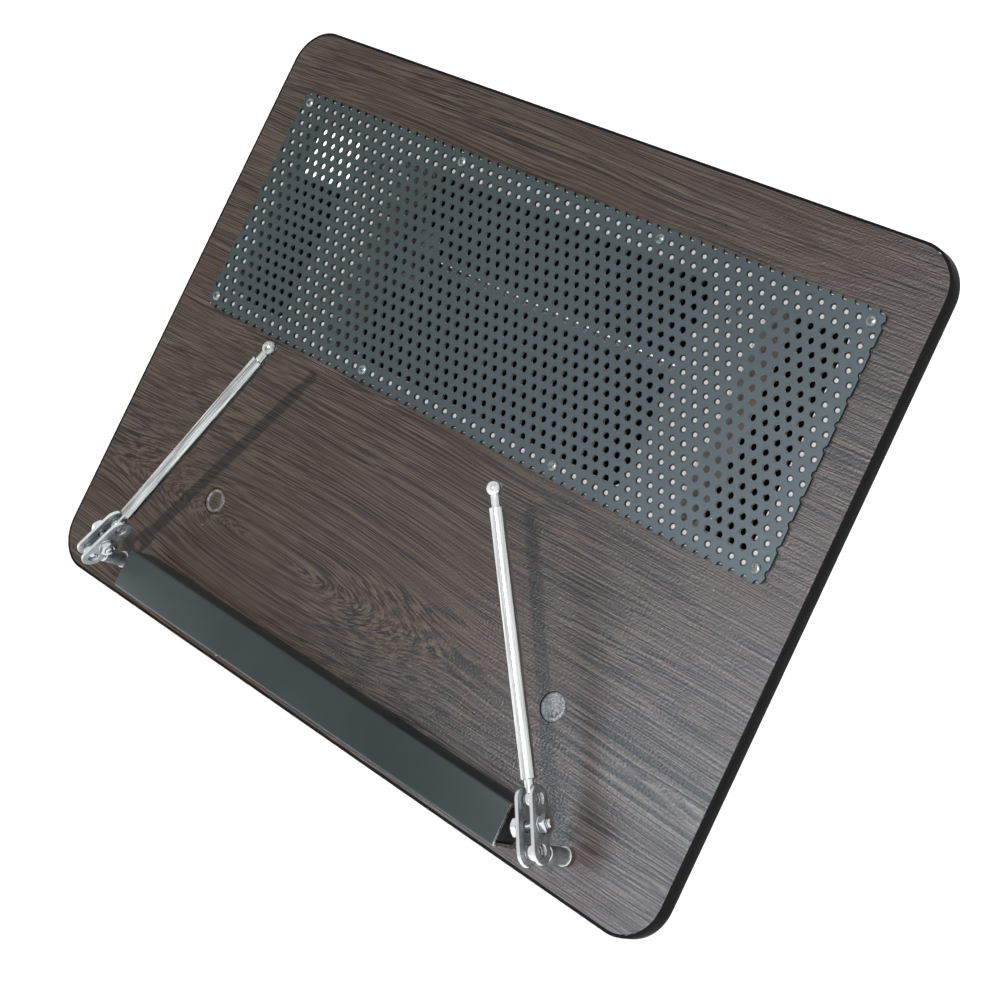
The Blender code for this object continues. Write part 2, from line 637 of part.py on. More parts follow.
def make_bracket(frame, side, word):
    """One steel angle that carries the prop: a base on the batten, an ear and a stop on the ear."""
    x = side * BATTEN_X
    base_inner = side * EAR_INNER
    base_outer = x + side * BRACKET_WIDTH / 2
    low = min(base_inner, base_outer)
    high = max(base_inner, base_outer)
    half = BRACKET_LENGTH / 2
    mesh = box((low, PIVOT_HEIGHT - half, BRACKET_BACK), (high, PIVOT_HEIGHT + half, BRACKET_FRONT))
    bracket = add_object("prop_bracket_" + word, mesh, PARTS, "black_steel", frame)

    ear_back = PIVOT_DEPTH - EAR_BEHIND_PIVOT
    ear_low, ear_high = sorted((side * EAR_INNER, side * EAR_OUTER))
    ear_h = BRACKET_BACK - ear_back + BRACKET_THICKNESS
    outline = rounded_rectangle(
        ear_h + EAR_CORNER, EAR_LENGTH, EAR_CORNER, 3, -(ear_back + (ear_h + EAR_CORNER) / 2), PIVOT_HEIGHT
    )
    ear = cutter("ear_" + word, plate(outline, ear_low, ear_high), frame, (0, 0, 0), (0, math.pi / 2, 0))
    trim_low = (ear_low - REACH, 0, BRACKET_FRONT - BRACKET_THICKNESS / 2)
    trim = box(trim_low, (ear_high + REACH, BOARD_HEIGHT, BACK + REACH))
    cut(ear, cutter("ear_trim_" + word, trim, frame))
    cut(bracket, ear, "UNION")

    angle = open_angle()
    along = Vector((0, -math.cos(angle), -math.sin(angle)))
    beyond = Vector((0, math.sin(angle), -math.cos(angle)))
    pivot = Vector((0, PIVOT_HEIGHT, PIVOT_DEPTH))
    middle = pivot + along * STOP_FROM_PIVOT + beyond * (PROP_RADIUS + GAP + STOP_THICKNESS / 2)
    inner = side * (LEG_X - PROP_RADIUS / 2)
    outer = side * (EAR_INNER + BRACKET_THICKNESS / 2)
    tab_low, tab_high = sorted((inner, outer))
    tab = box(
        (tab_low, -STOP_LENGTH / 2, -STOP_THICKNESS / 2),
        (tab_high, STOP_LENGTH / 2, STOP_THICKNESS / 2),
    )
    tilt = math.atan2(along.z, along.y)
    stop = cutter("stop_" + word, tab, frame, middle, (tilt, 0, 0))
    cut(bracket, stop, "UNION")

    pin = ((side * (EAR_INNER - REACH), 0, 0), (side * (EAR_OUTER + REACH), 0, 0), PROP_RADIUS + PLAY)
    cut(bracket, cutter("pin_hole_" + word, rods([pin]), frame, pivot))
    bores = []
    for height in bracket_screw_places():
        radius = BRACKET_SCREW_RADIUS + PLAY
        bores.append(((x, height, BRACKET_BACK - REACH), (x, height, BRACKET_FRONT + REACH), radius))
    cut(bracket, cutter("bracket_bores_" + word, rods(bores, SMALL_SIDES), frame))
    for i, height in enumerate(bracket_screw_places()):
        button_screw(
            f"bracket_screw_{word}_{i + 1}", BRACKET_SCREW_HEAD_RADIUS, BRACKET_SCREW_HEAD_HEIGHT,
            BRACKET_SCREW_RADIUS, BRACKET_SCREW_BITE, "zinc", frame, (x, height, BRACKET_BACK - GAP),
            (math.pi, 0, 0),
        )


def wire_route():
    """Gives the prop's bent wire in its own axes: X to the right, Y down the leg, origin on the axis."""
    pin_end = PIN_CAP_X + PIN_END
    corner = arc(LEG_X + PIN_BEND, PIN_BEND, PIN_BEND, math.pi * 1.5, math.pi, 3)
    heel = arc(LEG_X - PROP_BEND, PROP_LENGTH - PROP_BEND, PROP_BEND, 0, math.pi / 2, BEND_STEPS)
    half = [(pin_end, 0)] + corner + heel
    other = [(-x, y) for x, y in reversed(half)]
    return half + other


def make_prop(frame):
    """The bent wire prop with its pin caps and the rubber sleeves on its foot."""
    angle = open_angle()
    axis = add_empty("prop_axis", PARTS, frame, (0, PIVOT_HEIGHT, PIVOT_DEPTH), (math.pi + angle, 0, 0))
    curve = bpy.data.curves.new("prop_wire", "CURVE")
    curve.dimensions = "3D"
    curve.bevel_depth = PROP_RADIUS
    curve.bevel_resolution = 2
    curve.use_fill_caps = True
    add_points(curve, wire_route(), False)
    add_object("prop_wire", curve_to_mesh(curve), PARTS, "black_steel", axis)
    for side, word in ((-1, "left"), (1, "right")):
        inside = PROP_RADIUS + GAP
        edge = RING_CHAMFER
        ring = [
            (inside, PIN_CAP_THICKNESS),
            (PIN_CAP_RADIUS - edge, PIN_CAP_THICKNESS),
            (PIN_CAP_RADIUS, PIN_CAP_THICKNESS - edge),
            (PIN_CAP_RADIUS, 0),
            (inside, 0),
            (inside, PIN_CAP_THICKNESS),
        ]
        turn = (0, side * math.pi / 2, 0)
        turned("pin_cap_" + word, ring, "black_steel", axis, (side * PIN_CAP_X, 0, 0), turn)
        half = SLEEVE_LENGTH / 2
        sleeve = [
            (inside, half),
            (SLEEVE_RADIUS - edge, half),
            (SLEEVE_RADIUS, half - edge),
            (SLEEVE_RADIUS, -half + edge),
            (SLEEVE_RADIUS - edge, -half),
            (inside, -half),
            (inside, half),
        ]
        place = (side * (LEG_X - SLEEVE_INSET - half), PROP_LENGTH, 0)
        turned("foot_sleeve_" + word, sleeve, "rubber", axis, place, turn, ROUND_SIDES)


def make_plate(name, inside, parent):
    """One stadium plate of a clamp, with its two ball holes and its bolt hole."""
    outline = stadium(CLAMP_SPACING, PLATE_WIDTH / 2)
    low, high = sorted((inside, inside + math.copysign(PLATE_THICKNESS, inside)))
    turn = (math.pi / 2, 0, math.pi / 2)
    flat = [(y, x) for x, y in reversed(outline)]
    item = add_object(name, plate(flat, low, high), PARTS, "chrome", parent, (0, 0, 0), turn)
    low, high = low - REACH, high + REACH
    holes = []
    for y in (0, CLAMP_SPACING):
        holes.append(((low, y, 0), (high, y, 0), PLATE_HOLE_RADIUS))
    holes.append(((low, CLAMP_SPACING / 2, 0), (high, CLAMP_SPACING / 2, 0), BOLT_RADIUS + PLAY))
    cut(item, cutter(name + "_holes", rods(holes, SMALL_SIDES), parent))
    return item


def make_arm(frame, side, word, turn):
    """One page arm: a post with a ball, a two-plate clamp round that ball, and a rod with two balls."""
    place = (side * POST_X, POST_FROM_EDGE, BALL_HEIGHT)
    post_axis = add_empty(f"{word}_post_axis", PARTS, frame, place, (0, 0, -turn))
    foot = GAP - BALL_HEIGHT
    nut_top = BACK - GAP - BALL_HEIGHT
    stud_end = nut_top - POST_NUT_HEIGHT - STUD_END
    profile = ball_profile(0, BALL_RADIUS, NECK_RADIUS, True) + [
        (NECK_RADIUS, -SHOULDER_REACH),
        (POST_RADIUS, -SHOULDER_REACH),
        (POST_RADIUS, foot + FLANGE_HEIGHT),
        (FLANGE_RADIUS, foot + FLANGE_HEIGHT),
        (FLANGE_RADIUS, foot),
        (STUD_RADIUS, foot),
        (STUD_RADIUS, stud_end),
        (0, stud_end),
    ]
    turned(f"{word}_post", profile, "chrome", post_axis)
    nut = plate(hexagon(POST_NUT_WIDTH), nut_top - POST_NUT_HEIGHT, nut_top)
    nut_item = add_object(f"{word}_post_nut", nut, PARTS, "zinc", post_axis)
    bore = [((0, 0, nut_top - POST_NUT_HEIGHT - REACH), (0, 0, nut_top + REACH), STUD_RADIUS + PLAY)]
    cut(nut_item, cutter(f"{word}_post_nut_bore", rods(bore, SMALL_SIDES), post_axis))

    clamp_axis = add_empty(f"{word}_clamp_axis", PARTS, post_axis)
    make_plate(f"{word}_plate_inner", -PLATE_OFFSET, clamp_axis)
    make_plate(f"{word}_plate_outer", PLATE_OFFSET, clamp_axis)
    middle = (0, CLAMP_SPACING / 2, 0)
    across = (0, math.pi / 2, 0)
    head_face = -WASHER_OUTSIDE - GAP
    end = NUT_INSIDE + NUT_HEIGHT + BOLT_END
    head = plate(hexagon(BOLT_HEAD_WIDTH), head_face - BOLT_HEAD_HEIGHT, head_face)
    bolt = add_object(f"{word}_bolt", head, PARTS, "chrome", clamp_axis, middle, across)
    shank = rods([((0, 0, head_face - BOLT_HEAD_HEIGHT / 2), (0, 0, end), BOLT_RADIUS)], SMALL_SIDES)
    cut(bolt, cutter(f"{word}_bolt_shank", shank, clamp_axis, middle, across), "UNION")
    washer = rods([((0, 0, PLATE_OUTSIDE + GAP), (0, 0, WASHER_OUTSIDE), WASHER_RADIUS)])
    back_washer = rods([((0, 0, -WASHER_OUTSIDE), (0, 0, -PLATE_OUTSIDE - GAP), WASHER_RADIUS)])
    nut = plate(hexagon(BOLT_HEAD_WIDTH), NUT_INSIDE, NUT_INSIDE + NUT_HEIGHT)
    reach = end + REACH
    through = rods([((0, 0, -reach), (0, 0, reach), BOLT_RADIUS + PLAY)], SMALL_SIDES)
    bore = cutter(f"{word}_bolt_bore", through, clamp_axis, middle, across)
    for name, mesh in (("nut_washer", washer), ("head_washer", back_washer), ("nut", nut)):
        cut(add_object(f"{word}_{name}", mesh, PARTS, "chrome", clamp_axis, middle, across), bore)

    rod_axis = add_empty(f"{word}_rod_axis", PARTS, clamp_axis, (0, CLAMP_SPACING, 0), (ROD_RISE, 0, 0))
    far = ball_profile(ROD_LENGTH, BALL_RADIUS, NECK_RADIUS, True)
    near = ball_profile(0, BALL_RADIUS, NECK_RADIUS, False)
    body = [
        (NECK_RADIUS, ROD_LENGTH - SHOULDER_REACH),
        (ROD_RADIUS, ROD_LENGTH - SHOULDER_REACH),
        (ROD_RADIUS, SHOULDER_REACH),
        (NECK_RADIUS, SHOULDER_REACH),
    ]
    turned(f"{word}_rod", far + body + near, "chrome", rod_axis, (0, 0, 0), (-math.pi / 2, 0, 0))


clear_scene()
PARTS = make_collection("book_stand")
CUTTERS = make_collection("cutters")
board_frame = add_empty("board_frame", PARTS, None, (0, -MIDDLE_BEHIND_EDGE, EDGE_RISE), (LEAN, 0, 0))
make_board(board_frame)
make_sheet(board_frame)
make_ledge(board_frame)
for hand, label in ((-1, "left"), (1, "right")):
    make_batten(board_frame, hand, label)
    make_bracket(board_frame, hand, label)
make_prop(board_frame)
make_arm(board_frame, -1, "left", LEFT_ARM_TURN)
make_arm(board_frame, 1, "right", RIGHT_ARM_TURN)
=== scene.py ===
# %% [markdown]
# # A book stand with two page arms
# A dark laminated board leans back on a hinged wire prop. A perforated steel sheet covers three
# windows in it, a steel tube along the bottom carries the book, and two jointed arms hold the pages.
# The solid model is loaded first. Everything below is built round it, in metres, in the same place.

# %% Load the solid model
import json
import math
from functools import partial

import bmesh
import bpy
from mathutils import Matrix, Vector

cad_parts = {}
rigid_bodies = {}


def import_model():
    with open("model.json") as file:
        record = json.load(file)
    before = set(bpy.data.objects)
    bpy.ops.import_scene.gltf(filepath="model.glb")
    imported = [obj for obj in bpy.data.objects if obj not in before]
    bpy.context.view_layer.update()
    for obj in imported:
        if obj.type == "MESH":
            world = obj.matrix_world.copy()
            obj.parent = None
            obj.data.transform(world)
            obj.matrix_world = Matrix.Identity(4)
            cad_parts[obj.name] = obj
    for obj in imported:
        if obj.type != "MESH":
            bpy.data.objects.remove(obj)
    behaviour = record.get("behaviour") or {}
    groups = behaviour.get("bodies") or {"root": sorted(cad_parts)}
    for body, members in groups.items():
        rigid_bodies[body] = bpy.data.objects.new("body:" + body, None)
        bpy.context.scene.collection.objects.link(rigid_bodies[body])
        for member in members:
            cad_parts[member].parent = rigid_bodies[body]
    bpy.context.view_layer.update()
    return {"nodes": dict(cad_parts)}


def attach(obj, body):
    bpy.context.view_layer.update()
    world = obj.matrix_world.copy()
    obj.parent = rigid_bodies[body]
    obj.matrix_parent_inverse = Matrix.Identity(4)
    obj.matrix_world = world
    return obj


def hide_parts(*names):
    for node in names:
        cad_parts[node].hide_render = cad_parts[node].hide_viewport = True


for default in list(bpy.data.objects):
    bpy.data.objects.remove(default, do_unlink=True)
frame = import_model()
NODES = frame["nodes"]

# %% [markdown]
# ## Sizes
# The stand is easiest to describe in the board's own axes: X to the right, Y up the slope and Z out
# of the front face. One matrix turns those axes into the table's. Each arm adds a matrix for its
# clamp and one for its rod, and the prop has its own.

# %% Sizes in metres
MM = 0.001
SIDES = ((-1, "left"), (1, "right"))
QUARTER = math.pi / 2


def mm(*lengths):
    """Lengths given in millimetres, in metres."""
    return [length * MM for length in lengths]


LEAN = math.radians(50)
BOARD_WIDTH, BOARD_HEIGHT, BOARD_THICKNESS = mm(388, 287.6, 7)
CORNER_RADIUS, BAND = mm(19, 1)
GAP = 0.3 * MM
SHEET_WIDTH, SHEET_LOW, SHEET_HIGH = mm(348, 141.7, 256.7)
SHEET_FRONT, SHEET_THICKNESS = mm(1.5, 1.2)
PITCH, ROW_GAP, HOLE_RADIUS = mm(6.018, 5.196, 1.58)
FIRST_COLUMN, FIRST_ROW = 168.5 * MM - 57 * PITCH, 142.0 * MM
LEDGE_X, LEDGE_LENGTH = mm(-3, 253)
LEDGE_LOW, LEDGE_DEPTH, LEDGE_HEIGHT = mm(6.9, 18.1, 16)
LEDGE_Y = LEDGE_LOW + LEDGE_DEPTH / 2
BATTEN_X, BATTEN_WIDTH, BATTEN_DEPTH, BATTEN_TOP = mm(108.5, 27, 16, 262)
BATTEN_FRONT = -BOARD_THICKNESS - GAP
BATTEN_BACK = BATTEN_FRONT - BATTEN_DEPTH
POST_X, POST_Y, BALL_HEIGHT, BALL_RADIUS = mm(146.5, 15.8, 23, 3.4)
CLAMP_SPACING, PLATE_WIDTH, PLATE_THICKNESS, PLATE_OFFSET = mm(19.2, 10.8, 1.5, 2.6)
ROD_LENGTH, NECK_RADIUS, SHOULDER = mm(121, 2, 7.7)
PIVOT_Y, PIVOT_Z, PROP_LENGTH, PROP_RADIUS = mm(205, -34, 150, 3.5)
EDGE_CLEAR, SLEEVE_RADIUS = mm(4, 6.5)

# %% The axes that carry the pieces
def at(x, y, z):
    """The move to a place."""
    return Matrix.Translation((x, y, z))


def about(axis, angle):
    """The turn about an axis."""
    return Matrix.Rotation(angle, 4, axis)


TURN_LEFT_ARM, TURN_RIGHT_ARM, ROD_LIFT = 28, -34.7, 7.5
EDGE_RISE = EDGE_CLEAR + BOARD_THICKNESS * math.cos(LEAN)
BOARD = at(0, -105.54 * MM, EDGE_RISE) @ about("X", LEAN)
ALONG_X = Matrix(((0, 0, 1, 0), (1, 0, 0, 0), (0, 1, 0, 0), (0, 0, 0, 1)))
CLAMP, ROD = {}, {}
for (side, word), turn in zip(SIDES, (TURN_LEFT_ARM, TURN_RIGHT_ARM)):
    joint = BOARD @ at(side * POST_X, POST_Y, BALL_HEIGHT)
    CLAMP[word] = joint @ about("Z", -math.radians(turn))
    lift = about("X", math.radians(ROD_LIFT))
    ROD[word] = CLAMP[word] @ at(0, CLAMP_SPACING, 0) @ lift
HINGE = BOARD @ at(0, PIVOT_Y, PIVOT_Z)
OPEN = QUARTER - LEAN + math.acos((HINGE.translation.z - SLEEVE_RADIUS) / PROP_LENGTH)
PROP = HINGE @ about("X", math.pi + OPEN)
print("prop opens", round(math.degrees(OPEN), 2), "degrees")
print("left rod ends at", ROD["left"] @ Vector((0, ROD_LENGTH, 0)))

# %% [markdown]
# ## The camera
# The photograph looks down on the stand from the right, a little under thirty degrees above the
# table. A fairly long lens keeps the board's edges nearly parallel, as they are there.

# %% Camera
CAMERA_PLACE = (0.55611, -0.49427, 0.56135)
TO_RIGHT, UPWARDS = Vector((0.72186, 0.69173, -0.02053)), Vector((-0.31738, 0.35727, 0.87843))
TO_CAMERA = Vector((0.61497, -0.62759, 0.47744))
FOCAL_LENGTH, SENSOR_WIDTH = 71.236, 36
SHIFT_X, SHIFT_Y = -0.09, -0.17


def in_scene(name, data):
    """Makes an object and puts it in the scene."""
    item = bpy.data.objects.new(name, data)
    bpy.context.scene.collection.objects.link(item)
    return item


def axes(x_way, y_way, z_way):
    """The turn that lays X, Y and Z along three directions."""
    return Matrix((x_way, y_way, z_way)).transposed().to_4x4()


camera_data = bpy.data.cameras.new("camera")
camera_data.lens, camera_data.sensor_width = FOCAL_LENGTH, SENSOR_WIDTH
camera_data.shift_x, camera_data.shift_y = SHIFT_X, SHIFT_Y
camera = in_scene("camera", camera_data)
camera.matrix_world = Matrix.Translation(CAMERA_PLACE) @ axes(TO_RIGHT, UPWARDS, TO_CAMERA)
bpy.context.scene.camera = camera
print("camera at", tuple(round(v, 3) for v in camera.location))

# %% [markdown]
# ## Tools for shapes
# Sheet-metal and flat pieces come from an outline: a 2D curve that is filled, thickened and given a
# small round on every edge, holes included, because a real edge always catches some light. Turned
# pieces come from a profile that is spun about its axis.

# %% Outlines
def arc(cx, cy, radius, start, end, steps):
    """Points along an arc, both ends included."""
    turns = [start + (end - start) * i / steps for i in range(steps + 1)]
    return [(cx + radius * math.cos(a), cy + radius * math.sin(a)) for a in turns]


def round_box(width, height, radius, cx=0, cy=0, steps=10):
    """The outline of a rectangle with round corners."""
    points = []
    for i, (sx, sy) in enumerate(((1, 1), (-1, 1), (-1, -1), (1, -1))):
        corner = (cx + sx * (width / 2 - radius), cy + sy * (height / 2 - radius))
        points += arc(*corner, radius, i * QUARTER, (i + 1) * QUARTER, steps)
    return points


def circle(cx, cy, radius, steps=32):
    """The outline of a round hole or disc."""
    return arc(cx, cy, radius, 0, 2 * math.pi, steps)[:-1]


def in_mm(points, rise=0.0):
    """Points or a profile given in millimetres, the second number counted from a level."""
    return [(x * MM, rise + y * MM) for x, y in points]


# %% Meshes from outlines and profiles
SAME_POINT = 1e-6


def smooth(mesh, degrees=32):
    """Shades rounds smooth and keeps corners sharp."""
    mesh.shade_smooth()
    mesh.set_sharp_from_angle(angle=math.radians(degrees))
    return mesh


def tidy(mesh):
    """Merges doubled points and turns every face outwards."""
    shape = bmesh.new()
    shape.from_mesh(mesh)
    bmesh.ops.remove_doubles(shape, verts=shape.verts, dist=SAME_POINT)
    bmesh.ops.dissolve_degenerate(shape, edges=shape.edges, dist=SAME_POINT)
    bmesh.ops.recalc_face_normals(shape, faces=shape.faces)
    shape.to_mesh(mesh)
    shape.free()
    return mesh


def harvest(item):
    """The plain mesh that an object's curve or modifiers give. The object itself is removed."""
    bpy.context.view_layer.update()
    mesh = bpy.data.meshes.new_from_object(item.evaluated_get(bpy.context.evaluated_depsgraph_get()))
    bpy.data.objects.remove(item)
    return mesh


def curve_mesh(outlines, cyclic, **settings):
    """The mesh of a curve through lists of points, with the curve's own settings."""
    curve = bpy.data.curves.new("outline", "CURVE")
    for key, value in settings.items():
        setattr(curve, key, value)
    for outline in outlines:
        spline = curve.splines.new("POLY")
        spline.points.add(len(outline) - 1)
        spline.use_cyclic_u = cyclic
        for point, (x, y) in zip(spline.points, outline):
            point.co = (x, y, 0, 1)
    mesh = harvest(in_scene("outline", curve))
    bpy.data.curves.remove(curve)
    return mesh


def plate(outlines, low, high, edge=0.2 * MM, steps=1):
    """A flat piece between two levels, from an outline and its holes, with rounded edges."""
    mesh = curve_mesh(outlines, True, dimensions="2D", fill_mode="BOTH", extrude=(high - low) / 2 - edge,
                      bevel_depth=edge, bevel_resolution=steps, offset=-edge)
    mesh.transform(at(0, 0, (low + high) / 2))
    return smooth(tidy(mesh), 25)


def spun(profile, sides=48):
    """A turned piece round Z from a profile of radius and height."""
    shape, rings = bmesh.new(), []
    for radius, height in profile:
        if radius == 0:
            rings.append([shape.verts.new((0, 0, height))] * sides)
        else:
            rings.append([shape.verts.new((x, y, height)) for x, y in circle(0, 0, radius, sides)])
    for ring, after in zip(rings, rings[1:]):
        for i in range(sides):
            j = (i + 1) % sides
            corners = list(dict.fromkeys((ring[i], ring[j], after[j], after[i])))
            if len(corners) > 2:
                shape.faces.new(corners)
    mesh = bpy.data.meshes.new("spun")
    shape.to_mesh(mesh)
    shape.free()
    return smooth(tidy(mesh))


def cylinder(radius, reach, sides):
    """A plain cylinder round Z that reaches as far below the origin as above it."""
    return spun([(0, reach), (radius, reach), (radius, -reach), (0, -reach)], sides)


def ball(centre, upper):
    """The profile of an arm's ball where it sits on its neck, from its top down."""
    steps, meet = 14, math.asin(NECK_RADIUS / BALL_RADIUS)
    first, last = (0, math.pi - meet) if upper else (meet, math.pi)
    turns = [first + (last - first) * i / steps for i in range(steps + 1)]
    points = [(BALL_RADIUS * math.sin(a), centre + BALL_RADIUS * math.cos(a)) for a in turns]
    pole = 0 if upper else -1
    points[pole] = (0, points[pole][1])
    return points


# %% Pieces
PIECES = []


def boolean(mesh, other, operation="DIFFERENCE"):
    """Cuts, joins or intersects one mesh with another."""
    whole, tool = in_scene("whole", mesh), in_scene("tool", other)
    step = whole.modifiers.new("step", "BOOLEAN")
    step.operation, step.solver, step.object = operation, "EXACT", tool
    result = harvest(whole)
    bpy.data.objects.remove(tool)
    return smooth(tidy(result))


def joined(meshes):
    """One mesh of several closed ones that stay apart."""
    shape = bmesh.new()
    for mesh in meshes:
        shape.from_mesh(mesh)
    result = bpy.data.meshes.new("joined")
    shape.to_mesh(result)
    shape.free()
    return smooth(result)


def piece(name, mesh, place, body, slot, nodes, *looks):
    """Places a mesh, gives it its materials and ties it to a body and to the solids it stands for."""
    mesh.transform(place)
    mesh.name = name
    if looks:
        chosen = [face.material_index for face in mesh.polygons]
        mesh.materials.clear()
        for look in looks:
            mesh.materials.append(look)
        mesh.polygons.foreach_set("material_index", chosen)
    item = in_scene(name, mesh)
    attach(item, body)
    if nodes:
        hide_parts(*nodes)
    PIECES.append(item)
    print(name, len(mesh.polygons), "faces on", body)
    return item


def paint_ends(mesh):
    """Gives the second material to the faces that look nearly along Z, before the mesh is placed."""
    for face in mesh.polygons:
        face.material_index = int(abs(face.normal.z) > 0.9)
    return mesh


# %% [markdown]
# ## Tools for finishes
# Every finish is procedural. Coordinates come from the object itself, turned into the board's axes
# where a grain follows the board. What several finishes share, such as wood grain, paint texture,
# dust and bright edges, is a node group that is built once and used with other values.

# %% Node helpers
def feed(socket, value):
    """Sets a socket's value, or links it to an output or to a node's first output."""
    if isinstance(value, bpy.types.Node):
        value = value.outputs[0]
    if isinstance(value, bpy.types.NodeSocket):
        socket.id_data.links.new(value, socket)
    else:
        socket.default_value = value


def add(tree, kind, feeds=None, **values):
    """Adds a node by the short name of its kind, sets its properties and values, and feeds its inputs."""
    own = tree.bl_idname.removesuffix("Tree")
    made = tree.nodes.new(next(
        family + kind for family in (own, "ShaderNode", "FunctionNode") if hasattr(bpy.types, family + kind)))
    for key, value in values.items():
        if hasattr(made, key):
            setattr(made, key, value)
        else:
            made.inputs[key].default_value = value
    for key, value in (feeds or {}).items():
        feed(made.inputs[key], value)
    return made


def calc(operation, *values):
    """Adds a Math node to the tree that its sockets or nodes are in. The other values are numbers."""
    tree = next(value.id_data for value in values if not isinstance(value, (int, float)))
    return add(tree, "Math", dict(enumerate(values)), operation=operation)


plus, less, times, over = (partial(calc, operation) for operation in ("ADD", "SUBTRACT", "MULTIPLY", "DIVIDE"))


def arrow(operation, first, second=(0, 0, 0)):
    """Adds a Vector Math node."""
    return add(first.id_data, "VectorMath", {0: first, 1: second}, operation=operation)


def mix(factor, first, second):
    """Mixes two colours, each an output or three numbers, and returns the mixed colour."""
    first, second = ((*c, 1) if isinstance(c, tuple) else c for c in (first, second))
    return add(factor.id_data, "Mix", {0: factor, 6: first, 7: second}, data_type="RGBA").outputs[2]


def ramp(value, low, high, out_low=0.0, out_high=1.0):
    """Maps a range of a value to another range, held at its ends."""
    return add(value.id_data, "MapRange", {0: value, 1: low, 2: high, 3: out_low, 4: out_high})


def noise(vector, scale, detail=2.0):
    """Adds a noise texture."""
    return add(vector.id_data, "TexNoise", {"Vector": vector}, Scale=scale, Detail=detail)


def new_group(name, inputs, outputs=()):
    """Starts a node group. An input is its name, its kind and, where it has one, its first value.
    Without outputs it is a geometry tree, whose first input and only output are the geometry."""
    family, out_kind = ("Shader", "Float") if outputs else ("Geometry", "Geometry")
    if not outputs:
        inputs, outputs = [("Geometry", "Geometry")] + inputs, ["Geometry"]
    group = bpy.data.node_groups.new(name, family + "NodeTree")
    for label, kind, *value in inputs:
        socket = group.interface.new_socket(label, in_out="INPUT", socket_type="NodeSocket" + kind)
        if value:
            socket.default_value = value[0]
    for label in outputs:
        group.interface.new_socket(label, in_out="OUTPUT", socket_type="NodeSocket" + out_kind)
    return group, group.nodes.new("NodeGroupInput").outputs, group.nodes.new("NodeGroupOutput").inputs


# %% [markdown]
# ### Wood grain
# Wenge shows long fine dark lines, short pores and, where the cut runs across the heart of the tree,
# nested arches. The lines follow the distance from the heart, which lies a little deeper in the wood
# the farther one goes along the board, so they close round it and run straight elsewhere.

# %% Grain group
ARCH_LENGTH, WANDER, SLANT = 0.13, 0.012, 0.25
grain, g_in, g_out = new_group(
    "long_grain",
    [("Vector", "Vector"), ("Heart", "Vector", (0, 0, 0)), ("Depth", "Float", 0.02), ("Stripes", "Float", 900.0),
     ("Stretch", "Float", 0.02)],
    ["Lines", "Bands", "Pores"],
)
put = partial(add, grain)
flatter = arrow("MULTIPLY", g_in["Vector"], (0.15, 1, 1))
centred = arrow("SUBTRACT", g_in["Vector"], g_in["Heart"])
along, sideways, inwards = put("SeparateXYZ", {0: centred}).outputs
deeper = put("MapRange", {0: calc("ABSOLUTE", along), 2: ARCH_LENGTH}, interpolation_type="SMOOTHSTEP")
across = put("CombineXYZ", {1: sideways, 2: calc("MULTIPLY_ADD", deeper, g_in["Depth"], inwards)})
from_heart = arrow("LENGTH", across).outputs["Value"]
wavy = calc("MULTIPLY_ADD", noise(flatter, 30.0), WANDER, from_heart)
slid = times(sideways, SLANT)
for label, finer, length, detail in (
    ("Lines", 1.0, 1.0, 2.0), ("Bands", 0.22, 1.0, 2.0), ("Pores", 1.3, 3.0, 0.0),
):
    run = times(along, times(g_in["Stretch"], length))
    flat = put("CombineXYZ", {0: plus(run, slid), 1: wavy})
    texture = put("TexNoise", {"Vector": flat, "Scale": times(g_in["Stripes"], finer)},
                  noise_dimensions="2D", Detail=detail, Roughness=0.6)
    feed(g_out[label], texture)
print("group", grain.name, "with", len(grain.nodes), "nodes")

# %% [markdown]
# ### Paint texture, dust and bright edges
# Satin paint is very slightly uneven. Dust is a scatter of tiny pale specks. An edge is found by
# comparing the true normal with one that is rounded off over a small distance; the lighter colour
# put there is a painted highlight, where a rounded edge catches the light.

# %% Paint group
paint, p_in, p_out = new_group(
    "paint_texture", [("Vector", "Vector"), ("Cloud", "Float", 22.0), ("Grit", "Float", 2600.0)], ["Cloud", "Grit"])
for label, detail in (("Cloud", 3.0), ("Grit", 2.0)):
    texture = add(paint, "TexNoise", {"Vector": p_in["Vector"], "Scale": p_in[label]}, Detail=detail)
    feed(p_out[label], texture)

# %% Dust group
EMPTY_CELLS = 0.9
dust, d_in, d_out = new_group(
    "dust_specks", [("Vector", "Vector"), ("Spread", "Float", 150.0), ("Size", "Float", 0.05)], ["Mask"])
cells = add(dust, "TexVoronoi", {"Vector": d_in["Vector"], "Scale": d_in["Spread"]}).outputs
chosen = calc("GREATER_THAN", add(dust, "SeparateColor", {0: cells["Color"]}), EMPTY_CELLS)
near = calc("LESS_THAN", cells["Distance"], d_in["Size"])
feed(d_out["Mask"], times(near, chosen))

# %% Edge group
FLAT, ON_EDGE, RIM_WIDTH = 0.99, 0.86, 0.4 * MM
edges, e_in, e_out = new_group("bright_edges", [("Width", "Float", 0.0005)], ["Mask"])
rounded = add(edges, "Bevel", {"Radius": e_in["Width"]}, samples=6)
true_way = add(edges, "NewGeometry").outputs["True Normal"]
facing = arrow("DOT_PRODUCT", rounded, true_way).outputs["Value"]
feed(e_out["Mask"], ramp(facing, FLAT, ON_EDGE))
print("groups", [g.name for g in bpy.data.node_groups])


# %% Material helpers
def start_material(name, roughness, metallic=0.0, specular=0.5):
    """Starts a material with one Principled shader."""
    look = bpy.data.materials.new(name)
    look.use_nodes = True
    shader = look.node_tree.nodes["Principled BSDF"]
    for key, value in (("Roughness", roughness), ("Metallic", metallic), ("Specular IOR Level", specular)):
        shader.inputs[key].default_value = value
    return look, look.node_tree, shader


